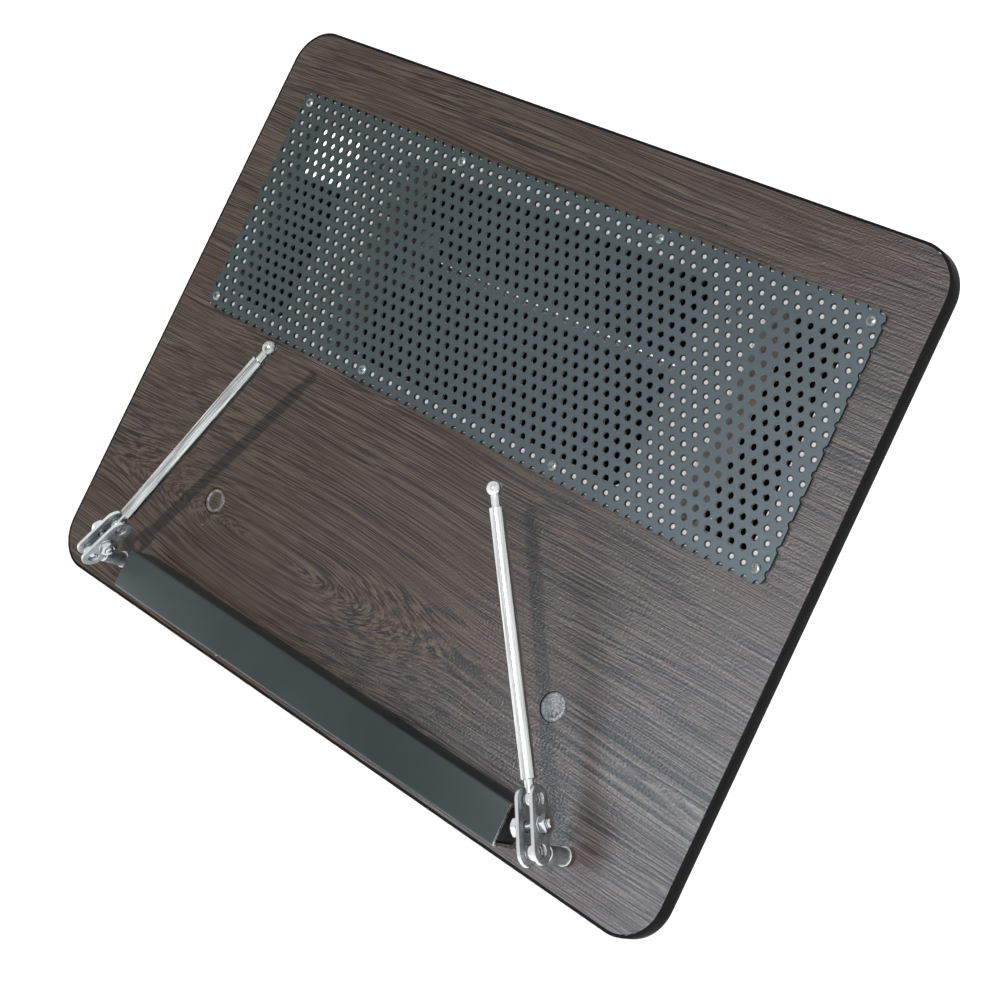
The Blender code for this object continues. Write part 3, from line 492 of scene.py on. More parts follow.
def object_vector(tree, place=None, stretch=None):
    """Object coordinates, turned into the axes of a place, and stretched along one of them."""
    vector = add(tree, "TexCoord").outputs["Object"]
    if place is not None:
        inverse = place.inverted()
        vector = add(tree, "Mapping", {"Vector": vector}, vector_type="POINT",
                     Location=inverse.to_translation(), Rotation=inverse.to_euler("XYZ"))
    if stretch is not None:
        vector = arrow("MULTIPLY", vector, stretch)
    return vector


def use(tree, group, **values):
    """Places a node group with its own values and returns its outputs."""
    return add(tree, "Group", values, node_tree=group).outputs


def finish_look(shader, colour, spread, height, distance):
    """Feeds the shader its colour, its roughness and a normal from a height."""
    bump = add(shader.id_data, "Bump", {"Height": height}, Strength=1.0, Distance=distance)
    for key, value in (("Base Color", colour), ("Roughness", spread), ("Normal", bump)):
        feed(shader.inputs[key], value)


# %% [markdown]
# ### The finishes
# The board's dark brown laminate carries the grain along X. Under each hole of the sheet it shows a
# small pale spot with a dark ring: a painted highlight where the board lies open to the light, in a
# ring of painted shade. Paint on the sheet is a cool satin black, and so is the ledge's.

# %% Painted light and shade under the holes
# The pale spot is a painted highlight, the board lit at the bottom of a hole, and the dark ring round it is painted
# shade; both sit a little to the left, where the board shows through.
PAINTED_HOLE_LIGHT_RADIUS, PAINTED_HOLE_LIGHT_SHIFT = mm(0.95, 0.75)
PAINTED_HOLE_LIGHT, PAINTED_HOLE_RING_SHADE, SPECK = (0.62, 0.62, 0.61), (0.03, 0.032, 0.032), (0.5, 0.48, 0.45)


def painted_hole_light_mask(x, y):
    """A mask of a small round spot of painted light under every hole of the sheet, from the same rows and columns.
    """
    row_at = over(less(y, FIRST_ROW), ROW_GAP)
    row = calc("ROUND", row_at)
    half = times(less(1.0, calc("MODULO", row, 2.0)), 0.5)
    column_at = over(less(x, FIRST_COLUMN - PAINTED_HOLE_LIGHT_SHIFT), PITCH)
    column_at = less(column_at, half)
    off_x = times(less(column_at, calc("ROUND", column_at)), PITCH)
    off_y = times(less(row_at, row), ROW_GAP)
    apart = plus(times(off_x, off_x), times(off_y, off_y))
    return ramp(calc("SQRT", apart), PAINTED_HOLE_LIGHT_RADIUS * 1.15, PAINTED_HOLE_LIGHT_RADIUS * 0.85)


def under_sheet(x, y):
    """A mask of the part of the board that the sheet covers."""
    inside = calc("LESS_THAN", calc("ABSOLUTE", x), SHEET_WIDTH / 2 - MM)
    away = calc("ABSOLUTE", less(y, (SHEET_LOW + SHEET_HIGH) / 2))
    return times(inside, calc("LESS_THAN", away, (SHEET_HIGH - SHEET_LOW) / 2 - MM))


# %% Laminate and wood
def wood(name, dark, middle, pale, roughness, place, stripes, stretch=0.02, heart=(0, 0, 0), depth=0.02,
         emboss=0.0001, spots=False):
    """A grained finish in three tones, with or without the spots of painted light and shade beneath the sheet's
    holes.
    """
    look, tree, shader = start_material(name, roughness, 0.0, 0.22)
    vector = object_vector(tree, place)
    lines = use(tree, grain, Vector=vector, Heart=heart, Depth=depth, Stripes=stripes, Stretch=stretch)
    lighter = tuple(1.35 * c for c in middle)
    redder = (middle[0], 0.62 * middle[1], 0.5 * middle[2])
    colour = dark
    for mask, low, high, most, tone in (
        (lines["Lines"], 0.42, 0.49, 1.0, middle), (lines["Lines"], 0.52, 0.68, 1.0, pale),
        (lines["Pores"], 0.60, 0.72, 0.6, dark), (lines["Bands"], 0.42, 0.62, 0.25, lighter),
        (noise(vector, 11.0), 0.45, 0.7, 0.35, redder),
    ):
        colour = mix(ramp(mask, low, high, 0.0, most), colour, tone)
    # The spots are painted light and shade: a pale lit spot under each hole in a dark ring.
    if spots:
        x, y = add(tree, "SeparateXYZ", {0: vector}).outputs[:2]
        shown = mix(painted_hole_light_mask(x, y), PAINTED_HOLE_RING_SHADE, PAINTED_HOLE_LIGHT)
        colour = mix(under_sheet(x, y), colour, shown)
    colour = mix(use(tree, dust, Vector=vector, Spread=90.0, Size=0.03)["Mask"], colour, SPECK)
    spread = ramp(lines["Lines"], 0.3, 0.7, roughness + 0.06, roughness - 0.04)
    height = calc("MULTIPLY_ADD", noise(vector, 900.0, 1.0), 1.2, lines["Lines"])
    finish_look(shader, colour, spread, height, emboss)
    return look


# The laminate carries the painted light and shade under the sheet's holes.
LAMINATE = wood(
    "wenge_laminate", (0.0045, 0.003, 0.0022), (0.059, 0.0415, 0.0315), (0.128, 0.100, 0.080), 0.30, BOARD, 1700.0,
    stretch=0.010, heart=(-0.062, 0.056, 0), depth=0.019, emboss=0.00013, spots=True,
)
BATTEN_WOOD = wood(
    "stained_batten", (0.014, 0.009, 0.007), (0.04, 0.027, 0.02), (0.075, 0.055, 0.043), 0.5,
    BOARD @ about("Z", QUARTER), 800.0, heart=(0.12, 0.0, 0.004),
)
print("wood finishes made")


# %% Paints, plastics and rubber
def coated(name, dark, pale, roughness, cloud=22.0, grit=2600.0, relief=0.00002, rim=None, specks=0.0,
           specular=0.5):
    """A painted or moulded finish with a slight cloudiness, a fine grit, and a painted highlight colour on its
    edges.
    """
    look, tree, shader = start_material(name, roughness, 0.0, specular)
    vector = object_vector(tree)
    texture = use(tree, paint, Vector=vector, Cloud=cloud, Grit=grit)
    colour = mix(ramp(texture["Cloud"], 0.35, 0.65), dark, pale)
    if specks:
        specked = use(tree, dust, Vector=vector, Spread=120.0, Size=specks)["Mask"]
        colour = mix(specked, colour, (0.4, 0.4, 0.4))
    if rim:
        colour = mix(use(tree, edges, Width=RIM_WIDTH)["Mask"], colour, rim)
    spread = ramp(texture["Grit"], 0.3, 0.7, roughness - 0.05, roughness + 0.07)
    finish_look(shader, colour, spread, texture["Grit"], relief)
    return look


# The rim colours on the ledge, the edge band and the black steel are painted highlights along their edges.
SHEET_PAINT = coated("sheet_paint", (0.010, 0.020, 0.021), (0.016, 0.029, 0.031), 0.42,
                     specks=0.03, specular=0.36)
LEDGE_PAINT = coated("ledge_paint", (0.010, 0.020, 0.020), (0.017, 0.029, 0.030), 0.36, cloud=30.0,
                     rim=(0.2, 0.23, 0.23), specks=0.03, specular=0.36)
BAND_PLASTIC = coated("band_plastic", (0.003, 0.003, 0.0035), (0.005, 0.005, 0.005), 0.6,
                      rim=(0.02, 0.02, 0.02), specular=0.05)
PLUG_PLASTIC = coated("plug_plastic", (0.007, 0.007, 0.008), (0.014, 0.014, 0.015), 0.45)
# The left cap's ring: light scratches, and a painted highlight in broken arcs where the raised ring catches the
# light.
CAP_RING_WEAR_AND_HIGHLIGHT = coated("cap_ring_wear_and_highlight", (0.02, 0.016, 0.013), (0.19, 0.18, 0.16), 0.35, cloud=420.0, relief=0.0001)
RUBBER = coated("rubber", (0.010, 0.010, 0.010), (0.022, 0.022, 0.021), 0.75, grit=1400.0, relief=0.00005)
BLACK_STEEL = coated("black_steel", (0.010, 0.010, 0.011), (0.020, 0.020, 0.022), 0.33, rim=(0.10, 0.10, 0.10))


# %% Metals
def metal(name, dark, pale, roughness, cloud=60.0, grit=1800.0, relief=0.000004, place=None, stretch=None,
          metallic=1.0):
    """A bare or plated metal with slight marks, or with drawn streaks where it is stretched."""
    look, tree, shader = start_material(name, roughness, metallic)
    texture = use(tree, paint, Vector=object_vector(tree, place, stretch), Cloud=cloud, Grit=grit)
    colour = mix(ramp(texture["Cloud"], 0.3, 0.7), dark, pale)
    spread = ramp(texture["Grit"], 0.35, 0.7, roughness * 0.8, roughness * 1.5)
    finish_look(shader, colour, spread, texture["Grit"], relief)
    return look


CHROME = metal("chrome", (0.52, 0.54, 0.56), (0.74, 0.76, 0.77), 0.1)
# Both rods are the same chrome; the left one is painted darker than the right one, as shade and dark reflection.
ROD_CHROME_LEFT_PAINTED_DARK = {}
for word, dark, pale, roughness, relief in (
    ("left", (0.16, 0.175, 0.18), (0.58, 0.61, 0.60), 0.2, 0.00003),
    ("right", (0.48, 0.50, 0.50), (0.78, 0.80, 0.79), 0.12, 0.000006),
):
    ROD_CHROME_LEFT_PAINTED_DARK[word] = metal("rod_chrome_" + word, dark, pale, roughness, 1300.0, 2600.0, relief,
                             place=ROD[word], stretch=(1, 0.03, 1))
SCREW_STEEL = metal("screw_steel", (0.10, 0.12, 0.12), (0.32, 0.34, 0.34), 0.3, cloud=700.0)
ZINC = metal("zinc_plate", (0.42, 0.43, 0.44), (0.62, 0.63, 0.63), 0.26)
# A darker, half metallic copy of the chrome for the post's body and the plates' faces: painted dark reflection and
# shade.
CHROME_PAINTED_DARK = metal("chrome_painted_dark", (0.17, 0.20, 0.22), (0.36, 0.39, 0.40), 0.3, cloud=260.0, metallic=0.3)
BRIGHT_STEEL = metal("cut_steel", (0.55, 0.57, 0.57), (0.8, 0.81, 0.8), 0.22)
print(len(bpy.data.materials), "finishes")

# %% [markdown]
# ## The board's edge band and the screw caps
# A strip of black plastic is glued round the board and trimmed, so its edges are slightly rounded.
# Two round caps cover the lower screws: a thin disc with a raised ring, set flush with the face.

# %% Edge band
inner = BAND + GAP / 3
band = plate(
    [round_box(BOARD_WIDTH - 2 * cut, BOARD_HEIGHT - 2 * cut, CORNER_RADIUS - cut, 0, BOARD_HEIGHT / 2, 16)
     for cut in (0, inner)],
    -BOARD_THICKNESS, 0, 0.25 * MM,
)
piece("edge_strip", band, BOARD, "stand", "edge_band", ["edge_band"], BAND_PLASTIC)

# %% Screw caps
CAP_X, CAP_Y = mm(110.5, 62)
CAP_PROFILE = [(0, -0.15), (4.1, -0.15), (4.4, 0), (5.3, 0), (5.9, -0.25), (6, -0.5), (6, -1.8), (0, -1.8)]
RING_IN, RING_OUT, RING_LEVEL = 4.0, 5.5, -0.4
# The left cap keeps the laminate, with its ring lighter: partly wear, partly a painted highlight. The right cap is
# painted a mottled light grey, which is painted sheen of the light on the board's right part.
CAP_PAINTED_SHEEN = coated("cap_painted_sheen", (0.03, 0.03, 0.03), (0.30, 0.30, 0.30), 0.3, cloud=1000.0, relief=0.0002)
CAP_LOOKS = {"left": (LAMINATE, CAP_RING_WEAR_AND_HIGHLIGHT), "right": (CAP_PAINTED_SHEEN, CAP_PAINTED_SHEEN)}
for side, word in SIDES:
    cap = spun(in_mm(CAP_PROFILE), 64)
    for face in cap.polygons:
        on_ring = RING_IN < face.center.xy.length / MM < RING_OUT and face.center.z > RING_LEVEL * MM
        face.material_index = int(on_ring)
    place = BOARD @ at(side * CAP_X, CAP_Y, 0)
    piece("cap_" + word, cap, place, "stand", "laminate", ["screw_cap_" + word], *CAP_LOOKS[word])

# %% [markdown]
# ## The perforated sheet
# The sheet is punched with staggered rows of round holes and then cut to size, so the holes along
# its edges are cut through. Geometry Nodes does the same: it lays out the rows, leaves out the holes
# near the screws, fills the space between outline and circles, drops what lies outside the outline,
# and gives the result its thickness. The modifier's own mesh is just the eight screw places.

# %% Helpers for geometry trees
def flat_mesh(name, corners, faces=()):
    """A mesh from its points, with or without faces between them."""
    mesh = bpy.data.meshes.new(name)
    mesh.from_pydata(corners, [], faces)
    return mesh


def run_tree(name, mesh, tree, **values):
    """Runs a tree on a mesh with named values and returns the plain mesh."""
    item = in_scene(name, mesh)
    modifier = item.modifiers.new(name, "NODES")
    modifier.node_group = tree
    for socket in tree.interface.items_tree:
        if socket.in_out == "INPUT" and socket.name in values:
            modifier[socket.identifier] = values[socket.name]
    return harvest(item)


# %% The perforation tree
perforate, given, result = new_group(
    "perforated_plate",
    [(label, "Float") for label in (
        "Width", "Low", "High", "Corner", "Pitch", "Row Gap", "First Row", "First Column", "Hole Radius",
        "Screw Clearance", "Thickness")]
    + [("Columns", "Int"), ("Rows", "Int"), ("Sides", "Int"), ("Material", "Material")],
)
put = partial(add, perforate)


def together(*parts):
    """Joins streams of geometry in the perforation tree."""
    join = put("JoinGeometry")
    for part in parts:
        feed(join.inputs[0], part)
    return join


# rows of points, every second row moved half a pitch
span_x = times(less(given["Columns"], 1), given["Pitch"])
span_y = times(less(given["Rows"], 1), given["Row Gap"])
grid = put("MeshGrid", {
    "Size X": span_x, "Size Y": span_y, "Vertices X": given["Columns"], "Vertices Y": given["Rows"]})
corner_x = plus(given["First Column"], times(span_x, 0.5))
corner_y = plus(given["First Row"], times(span_y, 0.5))
position = put("InputPosition")
above = plus(put("SeparateXYZ", {0: position}).outputs[1], times(span_y, 0.5))
row = calc("ROUND", over(above, given["Row Gap"]))
odd = less(1.0, calc("MODULO", row, 2.0))
shift_x = plus(corner_x, times(odd, times(given["Pitch"], 0.5)))
shift = put("CombineXYZ", {0: shift_x, 1: corner_y})
points = put("SetPosition", {"Geometry": grid, "Offset": shift})
to_screw = put("Proximity", {0: given["Geometry"]}, target_element="POINTS").outputs["Distance"]
close = calc("LESS_THAN", to_screw, given["Screw Clearance"])
kept = put("DeleteGeometry", {0: points, 1: close}, domain="POINT")

# circles on the points, with the rounded outline round them, filled between
round_hole = put("CurvePrimitiveCircle", {"Resolution": given["Sides"], "Radius": given["Hole Radius"]})
holes = put("InstanceOnPoints", {"Points": kept, "Instance": round_hole})
height = less(given["High"], given["Low"])
middle = put("CombineXYZ", {1: times(plus(given["High"], given["Low"]), 0.5)})
outline = put("CurvePrimitiveQuadrilateral", {"Width": given["Width"], "Height": height})
moved = put("Transform", {0: outline, "Translation": middle})
rounded_outline = put("FilletCurve", {0: moved, "Radius": given["Corner"]}, mode="POLY", Count=8)
filled = put("FillCurve", {0: together(put("RealizeInstances", {0: holes}), rounded_outline)})

# drop the faces whose middle lies outside the rounded outline
half_width, half_height = times(given["Width"], 0.5), times(height, 0.5)
flat_half = put("CombineXYZ", {
    0: less(half_width, given["Corner"]), 1: less(half_height, given["Corner"])})
from_middle = arrow("ABSOLUTE", arrow("SUBTRACT", position, middle))
beyond = arrow("MAXIMUM", arrow("SUBTRACT", from_middle, flat_half))
outside = calc("GREATER_THAN", arrow("LENGTH", beyond).outputs["Value"], given["Corner"])
inside = put("DeleteGeometry", {0: filled, 1: outside}, domain="FACE")

# thickness: the face raised, and a turned copy of it closing the back
raise_by = put("CombineXYZ", {2: given["Thickness"]})
thick = put("ExtrudeMesh", {"Mesh": inside, "Offset": raise_by}, Individual=False)
merged = put("MergeByDistance", {0: together(thick, put("FlipFaces", {0: inside}))}, Distance=SAME_POINT)
real = put("RealizeInstances", {0: merged})
feed(result[0], put("SetMaterial", {0: real, "Material": given["Material"]}))

# %% Punch the sheet
SCREW_SPOTS = [(x * MM, y * MM) for y in (251.2, 147.2) for x in (-168.5, -60.2, 60.2, 168.5)]
spots = flat_mesh("screw_spots", [(x, y, 0) for x, y in SCREW_SPOTS])
sheet = run_tree("perforated_plate", spots, perforate, **{
    "Width": SHEET_WIDTH, "Low": SHEET_LOW, "High": SHEET_HIGH, "Corner": 4 * MM, "Thickness": SHEET_THICKNESS,
    "Pitch": PITCH, "Row Gap": ROW_GAP, "First Row": FIRST_ROW, "First Column": FIRST_COLUMN,
    "Columns": 59, "Rows": 23, "Hole Radius": HOLE_RADIUS, "Sides": 12, "Screw Clearance": 3 * MM,
    "Material": SHEET_PAINT,
})
smooth(tidy(sheet), 40)
piece("perforated_plate", sheet, BOARD @ at(0, 0, SHEET_FRONT - SHEET_THICKNESS), "stand",
      "sheet_paint", ["perforated_sheet"])

# %% [markdown]
# ## Screws
# All visible screws are one shape in different sizes: a low round head with a cross recess. A tree
# puts a copy of a screw on every point of a mesh, turns each about its own axis by an amount that a
# fixed seed gives, since no two are ever driven to the same angle, and makes one plain mesh of them.

# %% A cross-head screw
def cross_screw(radius, height, shank, length):
    """A round-headed screw standing on the origin, with a cross recess."""
    head = [(radius * math.sin(a), height * math.cos(a) ** 0.8) for a in (0, 0.35, 0.7, 1.0, 1.25, 1.42)]
    head[0] = (0, height)
    stem = [(radius, 0.08 * height), (radius, 0), (shank, 0), (shank, shank - length), (0, -length)]
    body = spun(head + stem, 24)
    for turn in (0, QUARTER):
        slot = plate([round_box(radius * 1.1, radius * 0.26, radius * 0.1, 0, 0, 3)],
                     height * 0.35, height * 1.5, 0.01 * MM)
        slot.transform(about("Z", turn))
        body = boolean(body, slot)
    return body


# %% The screw tree
MOST_TURN = 3.14
scatter, given, result = new_group(
    "screws_on_points",
    [("Screw", "Object"), ("Turn", "Rotation"), ("Seed", "Int", 1), ("Material", "Material")],
)
put = partial(add, scatter)
screw = put("ObjectInfo", {"Object": given["Screw"]}).outputs["Geometry"]
spin = put("RandomValue", {3: MOST_TURN, "Seed": given["Seed"]}, data_type="FLOAT").outputs[1]
as_turn = put("EulerToRotation", {0: put("CombineXYZ", {2: spin})})
both = put("RotateRotation", {0: given["Turn"], 1: as_turn}, rotation_space="LOCAL")
placed = put("InstanceOnPoints", {"Points": given["Geometry"], "Instance": screw, "Rotation": both})
real = put("RealizeInstances", {0: placed})
feed(result[0], put("SetMaterial", {0: real, "Material": given["Material"]}))


def screws(name, shape, points, turn, nodes, seed, look):
    """Puts a screw on each point of the board's axes and stands for the solids of those screws."""
    proto = in_scene("screw", shape)
    mesh = run_tree(name, flat_mesh("spots", points), scatter, Screw=proto, Turn=turn, Seed=seed, Material=look)
    bpy.data.objects.remove(proto)
    piece(name, smooth(tidy(mesh), 30), BOARD, "stand", "zinc", nodes)


LEDGE_SCREW_GAP, BRACKET_SCREW_Y = mm(75.9, 17)
SHEET_SCREW_LEVEL, FACING_BACK = 1.6 * MM, (math.pi, 0, 0)
STEEL = 2 * MM
FLANGE_FRONT, FLANGE_BACK = BATTEN_BACK - GAP, BATTEN_BACK - GAP - STEEL
screws("sheet_screws", cross_screw(*mm(2.4, 1.1, 1.4, 5)),
       [(x, y, SHEET_SCREW_LEVEL) for x, y in SCREW_SPOTS],
       (0, 0, 0), [f"sheet_screw_{n}" for n in range(1, 9)], 4, SCREW_STEEL)
screws("ledge_screws", cross_screw(*mm(3.6, 2.2, 2, 12.3)),
       [(LEDGE_X + k * LEDGE_SCREW_GAP, LEDGE_Y, -BOARD_THICKNESS - 0.1 * MM) for k in (-1, 0, 1)],
       FACING_BACK, ["ledge_screw_1", "ledge_screw_2", "ledge_screw_3"], 7, ZINC)
screws("bracket_screws", cross_screw(*mm(3.4, 2, 1.7, 10)),
       [(side * BATTEN_X, PIVOT_Y + k * BRACKET_SCREW_Y, FLANGE_BACK - 0.1 * MM)
        for side in (-1, 1) for k in (-1, 1)],
       FACING_BACK, [f"bracket_screw_{w}_{n}" for w in ("left", "right") for n in (1, 2)], 9, ZINC)

# %% [markdown]
# ## The ledge
# A length of rectangular steel tube is the book's ledge. Its outline and bore are one filled curve
# drawn across the tube, so the wall shows at the sawn ends, where the paint is missing.

# %% Ledge tube and plugs
BORE_DEPTH, BORE_HEIGHT = mm(15.1, 13)
tube = plate(
    [round_box(LEDGE_DEPTH, LEDGE_HEIGHT, 1.2 * MM, 0, 0, 6),
     round_box(BORE_DEPTH, BORE_HEIGHT, 0.6 * MM, 0, 0, 4)],
    -LEDGE_LENGTH / 2, LEDGE_LENGTH / 2, 0.12 * MM,
)
place = BOARD @ at(LEDGE_X, LEDGE_Y, GAP + LEDGE_HEIGHT / 2) @ ALONG_X
piece("book_ledge", paint_ends(tube), place, "stand", "ledge_paint", ["ledge_tube"], LEDGE_PAINT, BRIGHT_STEEL)
for side, word in SIDES:
    face = side * (LEDGE_LENGTH / 2 - 0.6 * MM)
    plug = plate([round_box(BORE_DEPTH - 0.6 * MM, BORE_HEIGHT - 0.6 * MM, 0.9 * MM, 0, 0, 4)],
                 *sorted((face, face - side * 9 * MM)), 0.5 * MM, 2)
    piece("end_plug_" + word, plug, place, "stand", "plug_plastic", ["ledge_plug_" + word], PLUG_PLASTIC)

# %% [markdown]
# ## The page arms
# Each arm is a post with a ball, a clamp of two plates that grips that ball and the rod's own ball,
# and a rod with a ball at each end. One bolt squeezes the plates together. The plates' faces are
# painted dark, as the reflection of the dark board in their chrome, and their rims and ball holes
# stay bright.

# %% Hexagons, washers and bolts
def hex_piece(width, low, high, bore=0.0):
    """A nut or bolt head: a hexagon whose corners are turned down at both faces."""
    holes = [circle(0, 0, bore, 32)] if bore else []
    block = plate([circle(0, 0, width / math.sqrt(3), 6)] + holes, low, high, 0.06 * MM)
    corner, flat, drop = width / math.sqrt(3) + 0.2 * MM, width / 2 * 0.96, 0.45 * MM
    turned_down = spun([(0, high), (flat, high), (corner, high - drop), (corner, low + drop), (flat, low), (0, low)])
    return boolean(block, turned_down, "INTERSECT")


def ring(outer, inner, low, high):
    """A washer."""
    return plate([circle(0, 0, outer, 48), circle(0, 0, inner, 32)], low, high, 0.12 * MM)


SHORT = 0.1 * MM
NUT_WIDTH = 7 * MM
PLATE_OUT = PLATE_OFFSET + PLATE_THICKNESS
WASHER_OUT = PLATE_OUT + GAP + 0.6 * MM
NUT_OUT, HEAD_OUT = WASHER_OUT + GAP + 2.5 * MM, WASHER_OUT + GAP + 2.6 * MM
BALL_HOLE, BOLT_HOLE = mm(2.5, 2.2)


# %% One arm
def make_post(word, body):
    """The post with its ball and the nut that holds it from behind."""
    foot = GAP - BALL_HEIGHT
    profile = ball(0, True) + in_mm([(2, 0.6), (2.3, 0.1), (3, 0), (3.3, -0.3)], -SHOULDER)
    profile += in_mm([(3.3, 3), (3.6, 3), (3.9, 2.7), (3.9, 0.3), (3.7, 0), (2, 0)], foot)
    post = spun(profile + in_mm([(2, -33.9), (1.7, -34.3), (0, -34.3)]))
    # The ball and neck are bright chrome. The body is the chrome painted dark, as shade and the dark board's
    # reflection under the clamp, and the collar at the board is zinc, painted lighter where light reaches it again.
    for face in post.polygons:
        if face.center.z > foot + 3.1 * MM or face.center.z < foot:
            face.material_index = 1 if face.center.z > -SHOULDER - 0.2 * MM else 2
    piece(word + "_ball_post", post, CLAMP[word], body, "chrome", [word + "_post"], ZINC, CHROME, CHROME_PAINTED_DARK)
    nut = hex_piece(NUT_WIDTH, -33.5 * MM, -30.3 * MM, 2.15 * MM)
    piece(word + "_stud_nut", nut, CLAMP[word], body, "zinc", [word + "_post_nut"], ZINC)


def make_clamp(word, body):
    """The two plates and the bolt, nut and washers that squeeze them."""
    clamp, half = CLAMP[word], PLATE_WIDTH / 2
    stadium = [(y, x) for x, y in arc(0, CLAMP_SPACING, half, math.pi, 0, 20) + arc(0, 0, half, 0, -math.pi, 20)]
    holes = [circle(y, 0, BALL_HOLE, 28) for y in (0, CLAMP_SPACING)]
    holes.append(circle(CLAMP_SPACING / 2, 0, BOLT_HOLE, 24))
    for part, low, high in (("inner", -PLATE_OUT, -PLATE_OFFSET), ("outer", PLATE_OFFSET, PLATE_OUT)):
        # Faces along Z get the chrome painted dark: painted reflection of the dark board.
        shape = paint_ends(plate([stadium] + holes, low, high, 0.3 * MM, 2))
        piece(f"{word}_clamp_plate_{part}", shape, clamp @ ALONG_X, body, "chrome", [f"{word}_plate_{part}"],
              CHROME, CHROME_PAINTED_DARK)
    across = clamp @ at(0, CLAMP_SPACING / 2, 0) @ about("Y", QUARTER)
    shank = spun(in_mm([(0, 1), (1.6, 1), (2, 0.6)], NUT_OUT) + in_mm([(2, 0.5), (0, 0.5)], -HEAD_OUT), 32)
    bolt = boolean(hex_piece(NUT_WIDTH, -HEAD_OUT, -WASHER_OUT - SHORT), shank, "UNION")
    nut = hex_piece(NUT_WIDTH, WASHER_OUT + SHORT, NUT_OUT, 2.1 * MM)
    for name, shape, part in (
        ("clamp_bolt", bolt, "bolt"), ("clamp_nut", nut, "nut"),
        ("nut_washer_ring", ring(4.1 * MM, 2.15 * MM, PLATE_OUT + SHORT, WASHER_OUT), "nut_washer"),
        ("head_washer_ring", ring(4.1 * MM, 2.15 * MM, -WASHER_OUT, -PLATE_OUT - SHORT), "head_washer"),
    ):
        piece(f"{word}_{name}", shape, across, body, "chrome", [f"{word}_{part}"], CHROME)


def make_rod(word, body):
    """The rod with a ball at each end."""
    shoulder = [(2, 0.5), (2.2, 0.05), (2.95, 0), (3.2, -0.25)]
    profile = ball(ROD_LENGTH, True) + in_mm(shoulder, ROD_LENGTH - SHOULDER)
    profile += in_mm([(r, -h) for r, h in reversed(shoulder)], SHOULDER) + ball(0, False)
    piece(word + "_page_rod", spun(profile, 64), ROD[word] @ about("X", -QUARTER), body,
          "chrome", [word + "_rod"], ROD_CHROME_LEFT_PAINTED_DARK[word])


for side, word in SIDES:
    make_post(word, word + "_post_body")
    make_clamp(word, word + "_clamp_body")
    make_rod(word, word + "_rod_body")

# %% [markdown]
# ## The back: battens, pads and the prop's brackets
# Two stained wooden battens stiffen the board and stand on rubber pads, cut level at the foot. Each
# carries a folded steel bracket with an ear for the prop's pin and a tab that stops it.

# %% Battens and pads
PAD_THICKNESS, PAD_Y, GROOVE_PITCH = mm(3, -89.95, 3)


def foot_cut(out):
    """How far up the slope a plane of the board's axes meets the level just above the pads."""
    return (PAD_THICKNESS + GAP - EDGE_RISE - out * math.cos(LEAN)) / math.sin(LEAN)


for side, word in SIDES:
    outline = [(foot_cut(BATTEN_BACK), BATTEN_BACK), (foot_cut(BATTEN_FRONT), BATTEN_FRONT),
               (BATTEN_TOP, BATTEN_FRONT), (BATTEN_TOP, BATTEN_BACK)]
    middle = side * BATTEN_X
    batten = plate([outline], middle - BATTEN_WIDTH / 2, middle + BATTEN_WIDTH / 2, 0.8 * MM, 3)
    piece("stiffening_batten_" + word, batten, BOARD @ ALONG_X, "stand", "batten_wood", ["batten_" + word],
          BATTEN_WOOD)
    pad = plate([round_box(23 * MM, 17.5 * MM, 2 * MM)], 0, PAD_THICKNESS, 0.5 * MM, 2)
    grooves = [plate([round_box(30 * MM, 0.9 * MM, 0.3 * MM, 0, k * GROOVE_PITCH)], -MM, 0.6 * MM, 0.02 * MM)
               for k in (-2, -1, 0, 1, 2)]
    piece("rubber_pad_" + word, boolean(pad, joined(grooves)), at(middle, PAD_Y, 0),
          "stand", "rubber", ["foot_pad_" + word], RUBBER)

# %% Sizes of the brackets
EAR_OUT = BATTEN_X - BATTEN_WIDTH / 2 - 2.2 * MM
EAR_IN, EAR_END = EAR_OUT - STEEL, PIVOT_Z - 15.5 * MM
LEG_X = EAR_IN - 1.2 * MM - PROP_RADIUS
FLANGE_END, FLANGE_HALF, EAR_HALF = BATTEN_X + 12 * MM, 23 * MM, 14 * MM
BEND_IN, BEND_OUT, EAR_ROUND = mm(1.2, 3.2, 5)
PIN_BORE, SCREW_BORE, TAB_HALF, TAB_PLACE = mm(3.8, 2, 1.25, 9)
ACROSS = about("Y", QUARTER)


# %% Brackets
def folded_strip(side):
    """The strip of steel, bent once, before anything is cut away."""
    fold = [(FLANGE_END, FLANGE_FRONT)]
    fold += arc(EAR_IN + BEND_OUT, FLANGE_FRONT - BEND_OUT, BEND_OUT, QUARTER, math.pi, 6)
    fold += [(EAR_IN, EAR_END), (EAR_OUT, EAR_END)]
    fold += arc(EAR_OUT + BEND_IN, FLANGE_BACK - BEND_IN, BEND_IN, math.pi, QUARTER, 4)
    fold.append((FLANGE_END, FLANGE_BACK))
    if side < 0:
        fold = [(-x, y) for x, y in reversed(fold)]
    strip = plate([fold], -PIVOT_Y - FLANGE_HALF, FLANGE_HALF - PIVOT_Y, 0.25 * MM)
    strip.transform(about("X", QUARTER))
    return strip


def ear_trim(side, end):
    """What is cut away above or below the ear, with its round corner."""
    near, far, round_at = 1.4 * MM - FLANGE_BACK, 3 * MM - EAR_END, -EAR_END - EAR_ROUND
    trim = plate([[(near, end * EAR_HALF), (round_at, end * EAR_HALF)]
                  + arc(round_at, end * (EAR_HALF - EAR_ROUND), EAR_ROUND, end * QUARTER, 0, 6)
                  + [(far, end * (EAR_HALF - EAR_ROUND)), (far, end * 30 * MM), (near, end * 30 * MM)]],
                 -12 * MM, 12 * MM, 0.01 * MM)
    trim.transform(at(side * EAR_IN, PIVOT_Y, 0) @ ACROSS)
    return trim


